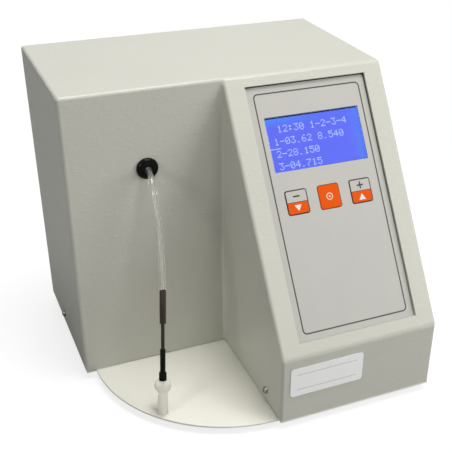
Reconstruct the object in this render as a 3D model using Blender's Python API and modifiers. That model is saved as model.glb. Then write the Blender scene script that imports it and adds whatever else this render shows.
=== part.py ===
"""Bench-top milk analyzer: a sheet-metal case with a sample bay, a sloping console and an intake hose.

Metres, +Z up. X runs to the right and Y to the rear, both from the middle of the case. Z starts at
the table, under the rubber feet. Each named object is one piece.
"""
import math

import bmesh
import bpy
from mathutils import Matrix, Vector

# Fits and mesh work
FIT = 0.0003
OVERRUN = 0.004
MERGE = 0.00001
SHARP_ANGLE = math.radians(35)
FLAT_ANGLE = math.radians(1)
BEND_ANGLE = math.radians(20)
CORNER_STEPS = 4
TURN_STEPS = 24
SMALL_STEPS = 12
ROUTE_STEPS = 24

# Case
BAY_WIDTH = 0.115
CONSOLE_WIDTH = 0.125
BLOCK_DEPTH = 0.127
CONSOLE_REACH = 0.111
CASE_HEIGHT = 0.220
KNEE_HEIGHT = 0.053
SHEET = 0.0015
BEND_RADIUS = 0.003
EDGE_GAP = 0.0005

# Base tray and platform
PLATE_INSET = 0.0005
PLATFORM_SIDE_MARGIN = 0.008
PLATFORM_FRONT_MARGIN = 0.004
PLATFORM_STEPS = 24
FLANGE_HEIGHT = 0.016
FLANGE_END = 0.012

# Feet
FOOT_HEIGHT = 0.006
FOOT_RADIUS = 0.009
FOOT_TAPER = 0.001
FOOT_STEM_RADIUS = 0.0028
FOOT_BARB = 0.0008
FOOT_BARB_HEIGHT = 0.003
FOOT_INSET = 0.022
PLATFORM_FOOT_SHARE = 0.72

# Screws
SCREW_RADIUS = 0.0015
HEAD_RADIUS = 0.0028
HEAD_HEIGHT = 0.0022
SCREW_LENGTH = 0.007
CASE_SCREW_HEIGHT = 0.0095
BLOCK_SCREW_BACK = 0.073
CONSOLE_SCREW_FRONT = 0.0845
REAR_SCREW_INSET = 0.025

# Rear panel
PANEL_INSET = 0.001
REAR_CORNER = 0.004
VENT_LENGTH = 0.040
VENT_WIDTH = 0.003
VENT_PITCH = 0.008
VENT_ROWS = 8
VENT_COLUMNS = 2
VENT_COLUMN_PITCH = 0.060
VENT_DROP = 0.0605
FITTINGS_HEIGHT = 0.055

# Power inlet
INLET_FROM_RIGHT = 0.045
INLET_FLANGE = (0.050, 0.024, 0.0025)
INLET_BODY = (0.027, 0.0195, 0.018)
INLET_CAVITY = (0.0235, 0.016, 0.0175)
INLET_CORNER = 0.003
PIN_BLADE = (0.002, 0.004, 0.011)
PIN_PITCH = 0.007
PIN_DROP = 0.004

# Power switch
SWITCH_FROM_RIGHT = 0.090
SWITCH_FLANGE = (0.015, 0.0212, 0.0018)
SWITCH_BODY = (0.013, 0.0192, 0.014)
SWITCH_OPENING = (0.0106, 0.0166, 0.011)
ROCKER_WIDTH = 0.0100
ROCKER_LENGTH = 0.0140
ROCKER_PIVOT_DEPTH = 0.003
ROCKER_RISE = 0.0060
ROCKER_DISH = 0.0012
ROCKER_ROOT = 0.004
ROCKER_PIN_RADIUS = 0.001
ROCKER_PIN_REACH = 0.0009
ROCKER_TILT = math.radians(8)

# Serial port
SERIAL_FROM_RIGHT = 0.150
SERIAL_FLANGE = (0.0308, 0.0125, 0.0008)
SERIAL_SHELL = (0.0169, 0.0084, 0.006)
SERIAL_SHELL_NARROWING = 0.0028
SERIAL_ROOT = 0.010
SERIAL_SCREW_PITCH = 0.025
SERIAL_STUD_RADIUS = 0.0027
SERIAL_STUD_REACH = 0.005

# Sloping control panel, in its own axes: across, up the slope and out of the surface
OPENING_SIDE_MARGIN = 0.015
OPENING_LOWER_MARGIN = 0.0095
OPENING_UPPER_MARGIN = 0.008
GASKET_THICKNESS = 0.001
GASKET_WIDTH = 0.002
PANEL_PLATE_THICKNESS = 0.002
PANEL_LIP = 0.0075
OVERLAY_THICKNESS = 0.0005
OVERLAY_MARGIN = 0.0006
OVERLAY_CORNER = 0.0008
PILLAR_RADIUS = 0.0028
PILLAR_PIN_REACH = 0.0012

# Display
WINDOW_SIDE_MARGIN = 0.0105
WINDOW_HEIGHT = 0.039
WINDOW_DROP = 0.0428
WINDOW_CORNER = 0.0006
GLASS_MARGIN = 0.003
GLASS_THICKNESS = 0.0060
BEZEL_RIM = 0.002
DISPLAY_BOARD_MARGIN = (0.014, 0.0115)
DISPLAY_PILLAR_MARGIN = (0.00975, 0.0065)
BOARD_THICKNESS = 0.0016

# Keys
KEY_WIDTH = 0.0163
KEY_HEIGHT = 0.0170
KEY_CORNER = 0.0015
KEY_SIDE_MARGIN = 0.01375
KEY_DROP = 0.0424
KEY_PROUD = 0.0004
KEY_FLANGE = 0.0011
KEY_FLANGE_THICKNESS = 0.0008
KEY_PLUNGER_RADIUS = 0.002
KEY_PLUNGER_LENGTH = 0.0022
KEY_TRAVEL = 0.0005
SWITCH_CAP_RADIUS = 0.00175
SWITCH_CAP_HEIGHT = 0.0015
SWITCH_CAN = 0.012
SWITCH_CAN_HEIGHT = 0.0025
KEY_BOARD_MARGIN = (0.00825, 0.0015)
KEY_PILLAR_MARGIN = (0.00425, 0.0057)

# Label on the lower front
LABEL_WIDTH = 0.0578
LABEL_HEIGHT = 0.0244
LABEL_THICKNESS = 0.0002
LABEL_CORNER = 0.0025
LABEL_LEFT = 0.0066
LABEL_LOW = 0.0204

# Grommet
GROMMET_IN = 0.058
GROMMET_UP = 0.162
GROMMET_RADIUS = 0.008
GROMMET_HOLE_RADIUS = 0.006
GROMMET_DOME = 0.0035
GROMMET_BACK = 0.0025

# Intake hose and probe
HOSE_RADIUS = 0.0021
HOSE_RESOLUTION = 3
HOSE_SPACING = 0.0045
SLEEVE_RADIUS = 0.0023
SLEEVE_LENGTH = 0.0245
PROBE_LENGTH = 0.0923
TUBE_RADIUS = 0.0013
TUBE_BORE = 0.0007
TUBE_GRIP = 0.008
LOWER_SLEEVE_RADIUS = 0.00195
LOWER_SLEEVE_LENGTH = 0.017
COLLAR_RADIUS = 0.00275
COLLAR_LENGTH = 0.0063
NOZZLE_RADIUS = 0.00365
NOZZLE_FLANGE_RADIUS = 0.006
NOZZLE_FLANGE_LENGTH = 0.0071
NOZZLE_LENGTH = 0.0248
NOZZLE_RIM = 0.0012
NOZZLE_RIM_STEP = 0.0002
NOZZLE_CAVITY_RADIUS = 0.0024
NOZZLE_CAVITY_DEPTH = 0.012
TIP_FROM_LEFT = 0.0394
TIP_FRONT = 0.0702
TIP_RISE = 0.0015
PROBE_LEAN = (0.1304, 0.2668, 0.9549)
# The hose's route as distances from the case's left side, in front of the recess wall and above the
# cover's lower edge; the last stretch carries straight on into the probe.
HOSE_ROUTE = (
    (0.0580, 0.0040, 0.1620),
    (0.0572, 0.0090, 0.1613),
    (0.0566, 0.0140, 0.1590),
    (0.0561, 0.0182, 0.1554),
    (0.0559, 0.0214, 0.1508),
    (0.0558, 0.0242, 0.1450),
    (0.0557, 0.0285, 0.1350),
    (0.0552, 0.0325, 0.1246),
    (0.0545, 0.0362, 0.1146),
    (0.0536, 0.0396, 0.1046),
)

# Pieces behind the case's walls
BOARD_LIFT = 0.009
MAIN_BOARD_SIDE = 0.0105
MAIN_BOARD_FRONT = 0.020
MAIN_BOARD_REAR = 0.005
SUPPLY_BOARD = (0.088, 0.048)
SUPPLY_RIGHT = 0.012
SUPPLY_REAR = 0.012
BOARD_HOLE_INSET = 0.005
CHIP_HEIGHT = 0.0025
SOCKET_HEIGHT = 0.009
CAN_HEIGHT = 0.014
PLUG_HEIGHT = 0.011
COIL_HEIGHT = 0.024
CAPACITOR_HEIGHT = 0.020
# Places on the boards, as shares of half their width and depth
RIBBON_SOCKET_SHARES = (0.0, 0.82)
POWER_PLUG_SHARES = (0.8, 0.55)
MAINS_PLUG_SHARES = (0.78, 0.1)
OUTPUT_PLUG_SHARES = (0.6, -0.75)
MOTOR_PLUG_SHARES = (-0.6, -0.8)

CELL_SIDE = 0.0275
CELL_DEPTH = 0.026
CELL_HEIGHT = 0.030
CELL_BACK = 0.052
CELL_UP = 0.080
CELL_BEVEL = 0.001
CELL_SENSOR_RADIUS = 0.009
CELL_SENSOR_LENGTH = 0.010
CELL_HEATER_INSET = 0.012
CELL_HEATER_DEPTH = 0.005
CELL_HEATER_HEIGHT = 0.016
BARB_RADIUS = 0.004
BARB_HEIGHT = 0.006
BARB_INSET = 0.010
BARB_STEPS = 8
BRACKET_SHEET = 0.002
BRACKET_FOOT = 0.020

PUMP_RIGHT = 0.030
PUMP_UP = 0.105
PUMP_PLATE_FROM_REAR = 0.077
PUMP_WIDTH = 0.060
PUMP_BELOW = 0.028
PUMP_ABOVE = 0.026
PUMP_DEPTH = 0.020
PUMP_COVER_THICKNESS = 0.002
PUMP_TUBE_RADIUS = 0.0024
PUMP_BEND_RADIUS = 0.0196
PUMP_SCREW_MARGIN = 0.0035
ROLLER_RADIUS = 0.0048
ROLLER_COUNT = 3
ROTOR_PIN_RADIUS = 0.0015
ROTOR_DISC_RADIUS = 0.017
ROTOR_DISC_THICKNESS = 0.0025
ROTOR_DISC_GAP = 0.0015
ROTOR_HUB_RADIUS = 0.006
ROTOR_SHAFT_RADIUS = 0.003
ROTOR_SHAFT_REACH = 0.010
MOTOR_RADIUS = 0.018
MOTOR_GEARBOX_LENGTH = 0.018
MOTOR_CAN_RADIUS = 0.0165
MOTOR_LENGTH = 0.050
VENT_TAIL_X = 0.026

RIBBON_WIDTH = 0.030
RIBBON_THICKNESS = 0.001
RIBBON_LOOP = 0.018
LEAD_RADIUS = 0.0018

# Places that follow from the sizes above
CASE_WIDTH = BAY_WIDTH + CONSOLE_WIDTH
CASE_LEFT = -CASE_WIDTH / 2
CASE_RIGHT = CASE_WIDTH / 2
CONSOLE_LEFT = CASE_LEFT + BAY_WIDTH
CONSOLE_MIDDLE = (CONSOLE_LEFT + CASE_RIGHT) / 2
BAY_MIDDLE = (CASE_LEFT + CONSOLE_LEFT) / 2
FRONT_PROUD = FIT + LABEL_THICKNESS
REAR_PROUD = SERIAL_SHELL[2] + FIT - PANEL_INSET
WALL_Y = (CONSOLE_REACH + FRONT_PROUD - BLOCK_DEPTH - REAR_PROUD) / 2
FRONT_Y = WALL_Y - CONSOLE_REACH
REAR_Y = WALL_Y + BLOCK_DEPTH
PLATE_TOP = FOOT_HEIGHT + SHEET
COVER_FOOT = PLATE_TOP + EDGE_GAP
CASE_TOP = COVER_FOOT + CASE_HEIGHT
KNEE_Z = COVER_FOOT + KNEE_HEIGHT
PANEL_SLOPE = math.atan2(CASE_TOP - KNEE_Z, CONSOLE_REACH)
SLOPE_LENGTH = math.hypot(CASE_TOP - KNEE_Z, CONSOLE_REACH)
OPENING_WIDTH = CONSOLE_WIDTH - 2 * OPENING_SIDE_MARGIN
OPENING_LENGTH = SLOPE_LENGTH - OPENING_LOWER_MARGIN - OPENING_UPPER_MARGIN
OPENING_MIDDLE = OPENING_LOWER_MARGIN + OPENING_LENGTH / 2
WINDOW_WIDTH = OPENING_WIDTH - 2 * WINDOW_SIDE_MARGIN
WINDOW_MIDDLE = OPENING_LOWER_MARGIN + OPENING_LENGTH - WINDOW_DROP
KEY_MIDDLE = WINDOW_MIDDLE - KEY_DROP
DISPLAY_BOARD = (WINDOW_WIDTH + 2 * DISPLAY_BOARD_MARGIN[0], WINDOW_HEIGHT + 2 * DISPLAY_BOARD_MARGIN[1])
DISPLAY_PILLARS = (WINDOW_WIDTH + 2 * DISPLAY_PILLAR_MARGIN[0], WINDOW_HEIGHT + 2 * DISPLAY_PILLAR_MARGIN[1])
KEY_ROW = OPENING_WIDTH - 2 * KEY_SIDE_MARGIN
KEY_PITCH = (KEY_ROW - KEY_WIDTH) / 2
KEY_BOARD = (KEY_ROW + 2 * KEY_BOARD_MARGIN[0], KEY_HEIGHT + 2 * KEY_BOARD_MARGIN[1])
KEY_PILLARS = (KEY_ROW + 2 * KEY_PILLAR_MARGIN[0], 2 * KEY_PILLAR_MARGIN[1])
INLET_X = CASE_RIGHT - INLET_FROM_RIGHT
SWITCH_X = CASE_RIGHT - SWITCH_FROM_RIGHT
SERIAL_X = CASE_RIGHT - SERIAL_FROM_RIGHT
REAR_FACE = REAR_Y - PANEL_INSET
REAR_INSIDE = REAR_FACE - SHEET
FITTINGS_Z = PLATE_TOP + FITTINGS_HEIGHT
CASE_SCREW_Z = COVER_FOOT + CASE_SCREW_HEIGHT
BLOCK_SCREW_Y = WALL_Y + BLOCK_SCREW_BACK
CONSOLE_SCREW_Y = WALL_Y - CONSOLE_SCREW_FRONT
GROMMET = Vector((CASE_LEFT + GROMMET_IN, WALL_Y, COVER_FOOT + GROMMET_UP))
TIP = Vector((CASE_LEFT + TIP_FROM_LEFT, WALL_Y - TIP_FRONT, PLATE_TOP + TIP_RISE))
PROBE_AXIS = Vector(PROBE_LEAN).normalized()
GASKET_BACK = -(SHEET + FIT + GASKET_THICKNESS)
PANEL_FRONT = GASKET_BACK - FIT
PANEL_BACK = PANEL_FRONT - PANEL_PLATE_THICKNESS
OVERLAY_BACK = PANEL_FRONT + FIT
OVERLAY_FRONT = OVERLAY_BACK + OVERLAY_THICKNESS
GLASS_FRONT = PANEL_BACK - FIT
GLASS_BACK = GLASS_FRONT - GLASS_THICKNESS
DISPLAY_BOARD_FRONT = GLASS_BACK - FIT
KEY_FLANGE_BACK = PANEL_BACK - FIT - KEY_FLANGE_THICKNESS
KEY_BACK = KEY_FLANGE_BACK - KEY_PLUNGER_LENGTH
SWITCH_CAP_FRONT = KEY_BACK - KEY_TRAVEL - FIT
SWITCH_CAN_BACK = SWITCH_CAP_FRONT - SWITCH_CAP_HEIGHT - SWITCH_CAN_HEIGHT
KEY_BOARD_FRONT = SWITCH_CAN_BACK + BOARD_THICKNESS / 4
BOARD_UNDER = PLATE_TOP + BOARD_LIFT
BOARD_TOP = BOARD_UNDER + BOARD_THICKNESS
CELL_LOW = PLATE_TOP + CELL_UP
CELL_MIDDLE_Y = WALL_Y + CELL_BACK
CELL_TOP = CELL_LOW + CELL_HEIGHT
CELL_WIDTH = BAY_WIDTH - 2 * CELL_SIDE
BARB_PITCH = CELL_WIDTH - 2 * BARB_INSET
MAIN_BOARD = (CONSOLE_WIDTH - 2 * MAIN_BOARD_SIDE, CONSOLE_REACH - MAIN_BOARD_FRONT - MAIN_BOARD_REAR)
PUMP_Z = PLATE_TOP + PUMP_UP
PUMP_X = CONSOLE_LEFT + PUMP_RIGHT
PUMP_PLATE_Y = REAR_Y - PUMP_PLATE_FROM_REAR
PUMP_AXIS = Vector((PUMP_X, PUMP_PLATE_Y, PUMP_Z))
TRACK_RADIUS = PUMP_BEND_RADIUS + PUMP_TUBE_RADIUS + 2 * FIT
ROLLER_CIRCLE = PUMP_BEND_RADIUS - PUMP_TUBE_RADIUS - 2 * FIT - ROLLER_RADIUS
ROTOR_DISC_TOP = FIT + ROTOR_DISC_GAP + ROTOR_DISC_THICKNESS
ROTOR_HUB_TOP = FIT + PUMP_DEPTH - FIT
PUMP_TUBE_PLANE = FIT + PUMP_DEPTH / 2
SCREW_HOLE = SCREW_RADIUS + FIT

FACING_FRONT = Matrix.Rotation(math.pi / 2, 4, "X")
FACING_REAR = Matrix.Rotation(math.pi, 4, "Z") @ FACING_FRONT
FACING_LEFT = Matrix.Rotation(-math.pi / 2, 4, "Z") @ FACING_FRONT
FACING_RIGHT = Matrix.Rotation(math.pi / 2, 4, "Z") @ FACING_FRONT
FACING_DOWN = Matrix.Rotation(math.pi, 4, "X")
SIDE_VIEW = Matrix(((0, 0, 1, 0), (1, 0, 0, 0), (0, 1, 0, 0), (0, 0, 0, 1)))

# Colour, roughness and metallic value of each finish
FINISHES = {
    "case_paint": ((0.66, 0.66, 0.60), 0.55, 0.0),
    "overlay_film": ((0.56, 0.56, 0.55), 0.40, 0.0),
    "key_white": ((0.85, 0.85, 0.84), 0.40, 0.0),
    "key_orange": ((0.87, 0.10, 0.01), 0.40, 0.0),
    "display_blue": ((0.12, 0.17, 1.0), 0.20, 0.0),
    "clear_plastic": ((0.80, 0.84, 0.85), 0.08, 0.0),
    "black_rubber": ((0.02, 0.02, 0.02), 0.70, 0.0),
    "black_plastic": ((0.03, 0.03, 0.03), 0.45, 0.0),
    "brown_sleeve": ((0.05, 0.035, 0.03), 0.35, 0.0),
    "white_plastic": ((0.82, 0.82, 0.80), 0.40, 0.0),
    "label_white": ((0.88, 0.88, 0.87), 0.50, 0.0),
    "steel": ((0.55, 0.55, 0.54), 0.30, 1.0),
    "aluminium": ((0.75, 0.75, 0.76), 0.40, 1.0),
    "board_green": ((0.02, 0.16, 0.07), 0.45, 0.0),
    "silicone": ((0.75, 0.74, 0.70), 0.35, 0.0),
    "wire_grey": ((0.25, 0.25, 0.26), 0.50, 0.0),
}


def clear_scene():
    """Removes every object of the scene."""
    for obj in list(bpy.data.objects):
        bpy.data.objects.remove(obj)


def new_collection(name):
    """Adds a collection to the scene."""
    collection = bpy.data.collections.new(name)
    bpy.context.scene.collection.children.link(collection)
    return collection


clear_scene()
PARTS = new_collection("milk_analyzer")
CUTTERS = new_collection("cutters")


def finish(name):
    """The named finish as a material, made when it is first asked for."""
    material = bpy.data.materials.get(name)
    if material is None:
        colour, roughness, metallic = FINISHES[name]
        material = bpy.data.materials.new(name)
        material.use_nodes = True
        shader = material.node_tree.nodes["Principled BSDF"]
        shader.inputs["Base Color"].default_value = (*colour, 1)
        shader.inputs["Roughness"].default_value = roughness
        shader.inputs["Metallic"].default_value = metallic
    return material


def place(name, mesh, finish_name, matrix=None, parent=None, smooth=False):
    """Makes a piece of the analyzer from a mesh, in its place."""
    mesh.name = name
    mesh.materials.clear()
    mesh.materials.append(finish(finish_name))
    if smooth:
        mesh.shade_smooth()
        mesh.set_sharp_from_angle(angle=SHARP_ANGLE)
    piece = bpy.data.objects.new(name, mesh)
    PARTS.objects.link(piece)
    piece.parent = parent
    if matrix is not None:
        piece.matrix_local = matrix
    return piece


def cutter(name, mesh, matrix=None, parent=None):
    """Makes a guide object that cuts or joins a piece and is left out of the part."""
    guide = bpy.data.objects.new(name, mesh)
    CUTTERS.objects.link(guide)
    guide.parent = parent
    if matrix is not None:
        guide.matrix_local = matrix
    guide.hide_render = True
    guide.display_type = "WIRE"
    return guide


def combine(piece, guide, operation):
    """Cuts a guide out of a piece, or joins it on."""
    modifier = piece.modifiers.new(guide.name, "BOOLEAN")
    modifier.operation = operation
    modifier.solver = "EXACT"
    modifier.object = guide


def baked(guide):
    """The mesh of an object as its modifiers leave it; the object itself is removed."""
    bpy.context.view_layer.update()
    depsgraph = bpy.context.evaluated_depsgraph_get()
    mesh = bpy.data.meshes.new_from_object(guide.evaluated_get(depsgraph))
    mesh.transform(guide.matrix_world)
    bpy.data.objects.remove(guide)
    return mesh


def welded(mesh):
    """Closes a mesh's loose caps and turns its faces outwards."""
    work = bmesh.new()
    work.from_mesh(mesh)
    bmesh.ops.remove_doubles(work, verts=work.verts, dist=MERGE)
    bmesh.ops.recalc_face_normals(work, faces=work.faces)
    work.to_mesh(mesh)
    work.free()
    return mesh


def evened(mesh):
    """Turns the inner edges of a sheet's flat faces, so that no face is a sliver."""
    work = bmesh.new()
    work.from_mesh(mesh)
    flat = [face for face in work.faces if len({vert.co.z > 0 for vert in face.verts}) == 1]
    on_flat = set(flat)
    inner = [edge for edge in work.edges if all(face in on_flat for face in edge.link_faces)]
    bmesh.ops.beautify_fill(work, faces=flat, edges=inner, method="ANGLE")
    work.to_mesh(mesh)
    work.free()
    return mesh


def box_mesh(low, high):
    """A box between two corners."""
    low, high = Vector(low), Vector(high)
    mesh = bpy.data.meshes.new("box")
    work = bmesh.new()
    bmesh.ops.create_cube(work, size=1.0)
    bmesh.ops.scale(work, vec=high - low, verts=work.verts)
    bmesh.ops.translate(work, vec=(low + high) / 2, verts=work.verts)
    work.to_mesh(mesh)
    work.free()
    return mesh


def centred_box(size, centre):
    """A box of a given size round its centre."""
    half = Vector(size) / 2
    return box_mesh(Vector(centre) - half, Vector(centre) + half)


def rod_mesh(radius, low, high, steps=SMALL_STEPS, centre=(0, 0)):
    """A round rod along Z between two heights."""
    mesh = bpy.data.meshes.new("rod")
    work = bmesh.new()
    bmesh.ops.create_cone(work, cap_ends=True, segments=steps, radius1=radius, radius2=radius,
                          depth=high - low)
    bmesh.ops.translate(work, vec=(*centre, (low + high) / 2), verts=work.verts)
    work.to_mesh(mesh)
    work.free()
    return mesh


def turned_mesh(profile, steps=TURN_STEPS, ring=False):
    """Turns a profile of (radius, height) points round Z; it runs down its outer side."""
    mesh = bpy.data.meshes.new("profile")
    edges = [(i, i + 1) for i in range(len(profile) - 1)]
    if ring:
        edges.append((len(profile) - 1, 0))
    mesh.from_pydata([(radius, 0, height) for radius, height in profile], edges, [])
    guide = cutter("profile", mesh)
    screw = guide.modifiers.new("turn", "SCREW")
    screw.steps = steps
    screw.render_steps = steps
    screw.use_merge_vertices = True
    screw.merge_threshold = MERGE
    return welded(baked(guide))


def tube_profile(outer, bore, low, high):
    """The closed profile of a plain tube along Z."""
    return [(outer, high), (outer, low), (bore, low), (bore, high)]


def outline_mesh(outlines, low, high):
    """A flat sheet in the XY plane between two heights: the first outline is its edge, the rest are holes."""
    curve = bpy.data.curves.new("outline", "CURVE")
    curve.dimensions = "2D"
    curve.fill_mode = "BOTH"
    curve.extrude = (high - low) / 2
    for outline in outlines:
        spline = curve.splines.new("POLY")
        spline.points.add(len(outline) - 1)
        for point, (x, y) in zip(spline.points, outline):
            point.co = (x, y, 0, 1)
        spline.use_cyclic_u = True
    mesh = evened(welded(baked(cutter("outline", curve))))
    mesh.transform(Matrix.Translation((0, 0, (low + high) / 2)))
    return mesh


def tube_mesh(points, radius, resolution):
    """A round tube along a run of points."""
    curve = bpy.data.curves.new("run", "CURVE")
    curve.dimensions = "3D"
    curve.bevel_depth = radius
    curve.bevel_resolution = resolution
    curve.use_fill_caps = True
    spline = curve.splines.new("POLY")
    spline.points.add(len(points) - 1)
    for point, place_on_run in zip(spline.points, points):
        point.co = (*place_on_run, 1)
    return welded(baked(cutter("run", curve)))


def rounded(width, height, radius, centre=(0, 0), steps=CORNER_STEPS):
    """Outline of a rectangle with round corners."""
    outline = []
    for turn, (side_x, side_y) in enumerate(((1, 1), (-1, 1), (-1, -1), (1, -1))):
        middle_x = centre[0] + side_x * (width / 2 - radius)
        middle_y = centre[1] + side_y * (height / 2 - radius)
        for step in range(steps + 1):
            angle = (turn + step / steps) * math.pi / 2
            outline.append((middle_x + radius * math.cos(angle), middle_y + radius * math.sin(angle)))
    return outline


def rectangle(width, height, centre=(0, 0)):
    """Outline of a plain rectangle."""
    x, y = centre
    return [(x + width / 2, y + height / 2), (x - width / 2, y + height / 2),
            (x - width / 2, y - height / 2), (x + width / 2, y - height / 2)]


def circle(radius, centre=(0, 0), steps=SMALL_STEPS):
    """Outline of a circle."""
    angles = [2 * math.pi * step / steps for step in range(steps)]
    return [(centre[0] + radius * math.cos(a), centre[1] + radius * math.sin(a)) for a in angles]


def corners(pitch_x, pitch_y, centre=(0, 0)):
    """The four corners of a rectangular hole pattern."""
    return [(centre[0] + side_x * pitch_x / 2, centre[1] + side_y * pitch_y / 2)
            for side_x in (-1, 1) for side_y in (-1, 1)]


def joined(meshes_and_places):
    """Puts several meshes, each in its own place, into one mesh of separate solids."""
    work = bmesh.new()
    for mesh, matrix in meshes_and_places:
        copy = mesh.copy()
        copy.transform(matrix)
        work.from_mesh(copy)
        bpy.data.meshes.remove(copy)
    mesh = bpy.data.meshes.new("set")
    work.to_mesh(mesh)
    work.free()
    return mesh


def at(x, y, z):
    """A plain shift to a point."""
    return Matrix.Translation((x, y, z))


def along(axis):
    """Turns Z onto an axis."""
    return Vector((0, 0, 1)).rotation_difference(axis).to_matrix().to_4x4()


def smooth_route(points, spacing):
    """Points at an even spacing on a smooth curve through the points of a route."""
    points = [Vector(point) for point in points]
    ends = [2 * points[0] - points[1], *points, 2 * points[-1] - points[-2]]
    fine = []
    for before, start, end, after in zip(ends, ends[1:], ends[2:], ends[3:]):
        reach = (end - start).length
        leave = (end - before).normalized() * reach
        arrive = (after - start).normalized() * reach
        for step in range(ROUTE_STEPS):
            t = step / ROUTE_STEPS
            fine.append(start * (2 * t**3 - 3 * t**2 + 1) + leave * (t**3 - 2 * t**2 + t)
                        + end * (3 * t**2 - 2 * t**3) + arrive * (t**3 - t**2))
    fine.append(points[-1])
    lengths = [0.0]
    for first, second in zip(fine, fine[1:]):
        lengths.append(lengths[-1] + (second - first).length)
    count = max(2, round(lengths[-1] / spacing))
    route = []
    index = 0
    for step in range(count + 1):
        goal = lengths[-1] * step / count
        while index < len(fine) - 2 and lengths[index + 1] < goal:
            index += 1
        share = (goal - lengths[index]) / (lengths[index + 1] - lengths[index])
        route.append(fine[index].lerp(fine[index + 1], share))
    return route


def screw_mesh(length, steps=SMALL_STEPS):
    """A pan-head screw that points down, with its head standing on the XY plane."""
    crown_share, shoulder_share = 0.7, 0.45
    profile = [(0, HEAD_HEIGHT), (crown_share * HEAD_RADIUS, HEAD_HEIGHT),
               (HEAD_RADIUS, shoulder_share * HEAD_HEIGHT), (HEAD_RADIUS, 0),
               (SCREW_RADIUS, 0), (SCREW_RADIUS, -length), (0, -length)]
    return turned_mesh(profile, steps)


def pillar_mesh(low, seat, steps=8):
    """A pressed-in pillar with a thinner pin that reaches through the board on its seat."""
    tip = seat + FIT + BOARD_THICKNESS + PILLAR_PIN_REACH
    return turned_mesh([(0, tip), (SCREW_RADIUS, tip), (SCREW_RADIUS, seat),
                        (PILLAR_RADIUS, seat), (PILLAR_RADIUS, low), (0, low)], steps)


def bevelled(piece, width, segments=2):
    """Rounds a piece's edges."""
    bevel = piece.modifiers.new("edges", "BEVEL")
    bevel.width = width
    bevel.segments = segments
    bevel.limit_method = "ANGLE"
    bevel.angle_limit = BEND_ANGLE


# Case

def case_screw_places():
    """Where the screws in the case's sides go, with their heads outwards."""
    return [
        at(CASE_LEFT - FIT, BLOCK_SCREW_Y, CASE_SCREW_Z) @ FACING_LEFT,
        at(CONSOLE_LEFT - FIT, CONSOLE_SCREW_Y, CASE_SCREW_Z) @ FACING_LEFT,
        at(CASE_RIGHT + FIT, BLOCK_SCREW_Y, CASE_SCREW_Z) @ FACING_RIGHT,
        at(CASE_RIGHT + FIT, CONSOLE_SCREW_Y, CASE_SCREW_Z) @ FACING_RIGHT,
    ]


def cut_away(work, spot, outward):
    """Cuts off what lies outside a plane."""
    everything = [*work.verts, *work.edges, *work.faces]
    bmesh.ops.bisect_plane(work, geom=everything, dist=MERGE, plane_co=spot, plane_no=outward,
                           clear_outer=True)


def cover_surface():
    """The cover's outer surface, open below and behind: an L plan, with the console cut to its slope."""
    behind = REAR_Y + OVERRUN
    plan = [(CASE_LEFT, WALL_Y), (CONSOLE_LEFT, WALL_Y), (CONSOLE_LEFT, FRONT_Y),
            (CASE_RIGHT, FRONT_Y), (CASE_RIGHT, behind), (CASE_LEFT, behind)]
    mesh = outline_mesh([plan], COVER_FOOT - OVERRUN, CASE_TOP)
    work = bmesh.new()
    work.from_mesh(mesh)
    bmesh.ops.dissolve_limit(work, angle_limit=FLAT_ANGLE, verts=work.verts, edges=work.edges)
    cut_away(work, (0, FRONT_Y, KNEE_Z), (0, -math.sin(PANEL_SLOPE), math.cos(PANEL_SLOPE)))
    rim = [edge for edge in work.edges if edge.is_boundary]
    bmesh.ops.contextual_create(work, geom=rim)
    cut_away(work, (0, 0, COVER_FOOT), (0, 0, -1))
    cut_away(work, (0, REAR_Y, 0), (0, 1, 0))
    bmesh.ops.recalc_face_normals(work, faces=work.faces)
    work.to_mesh(mesh)
    work.free()
    return mesh


def make_cover(panel_axes, screw_holes):
    """The bent sheet cover: top, sides, recess wall, sloping console and lower front in one shell."""
    cover = place("cover", cover_surface(), "case_paint")
    bevelled(cover, BEND_RADIUS, segments=3)
    shell = cover.modifiers.new("sheet", "SOLIDIFY")
    shell.thickness = SHEET
    shell.offset = -1
    shell.use_even_offset = True
    opening = centred_box((OPENING_WIDTH, OPENING_LENGTH, 2 * OVERRUN + SHEET), (0, OPENING_MIDDLE, 0))
    combine(cover, cutter("panel_opening", opening, parent=panel_axes), "DIFFERENCE")
    hose_hole = rod_mesh(GROMMET_HOLE_RADIUS, -OVERRUN, OVERRUN, TURN_STEPS)
    combine(cover, cutter("hose_hole", hose_hole, Matrix.Translation(GROMMET) @ FACING_FRONT), "DIFFERENCE")
    combine(cover, screw_holes, "DIFFERENCE")


def platform_radii():
    """How far the platform goes out from the bay's corner, to the left and to the front."""
    return BAY_WIDTH - PLATFORM_SIDE_MARGIN, CONSOLE_REACH - PLATFORM_FRONT_MARGIN


def base_outline():
    """The base plate's edge: under the block and the console, and a quarter disc in the bay."""
    across, out = platform_radii()
    left, right = CASE_LEFT + PLATE_INSET, CASE_RIGHT - PLATE_INSET
    front, rear, wall = FRONT_Y + PLATE_INSET, REAR_Y - PLATE_INSET, WALL_Y + PLATE_INSET
    outline = [(right, rear), (left, rear), (left, wall), (CONSOLE_LEFT - across, wall)]
    for step in range(PLATFORM_STEPS + 1):
        angle = math.pi + step / PLATFORM_STEPS * math.pi / 2
        outline.append((CONSOLE_LEFT + across * math.cos(angle), WALL_Y + out * math.sin(angle)))
    console = CONSOLE_LEFT + PLATE_INSET
    outline += [(console, WALL_Y - out), (console, front), (right, front)]
    return outline


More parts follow.
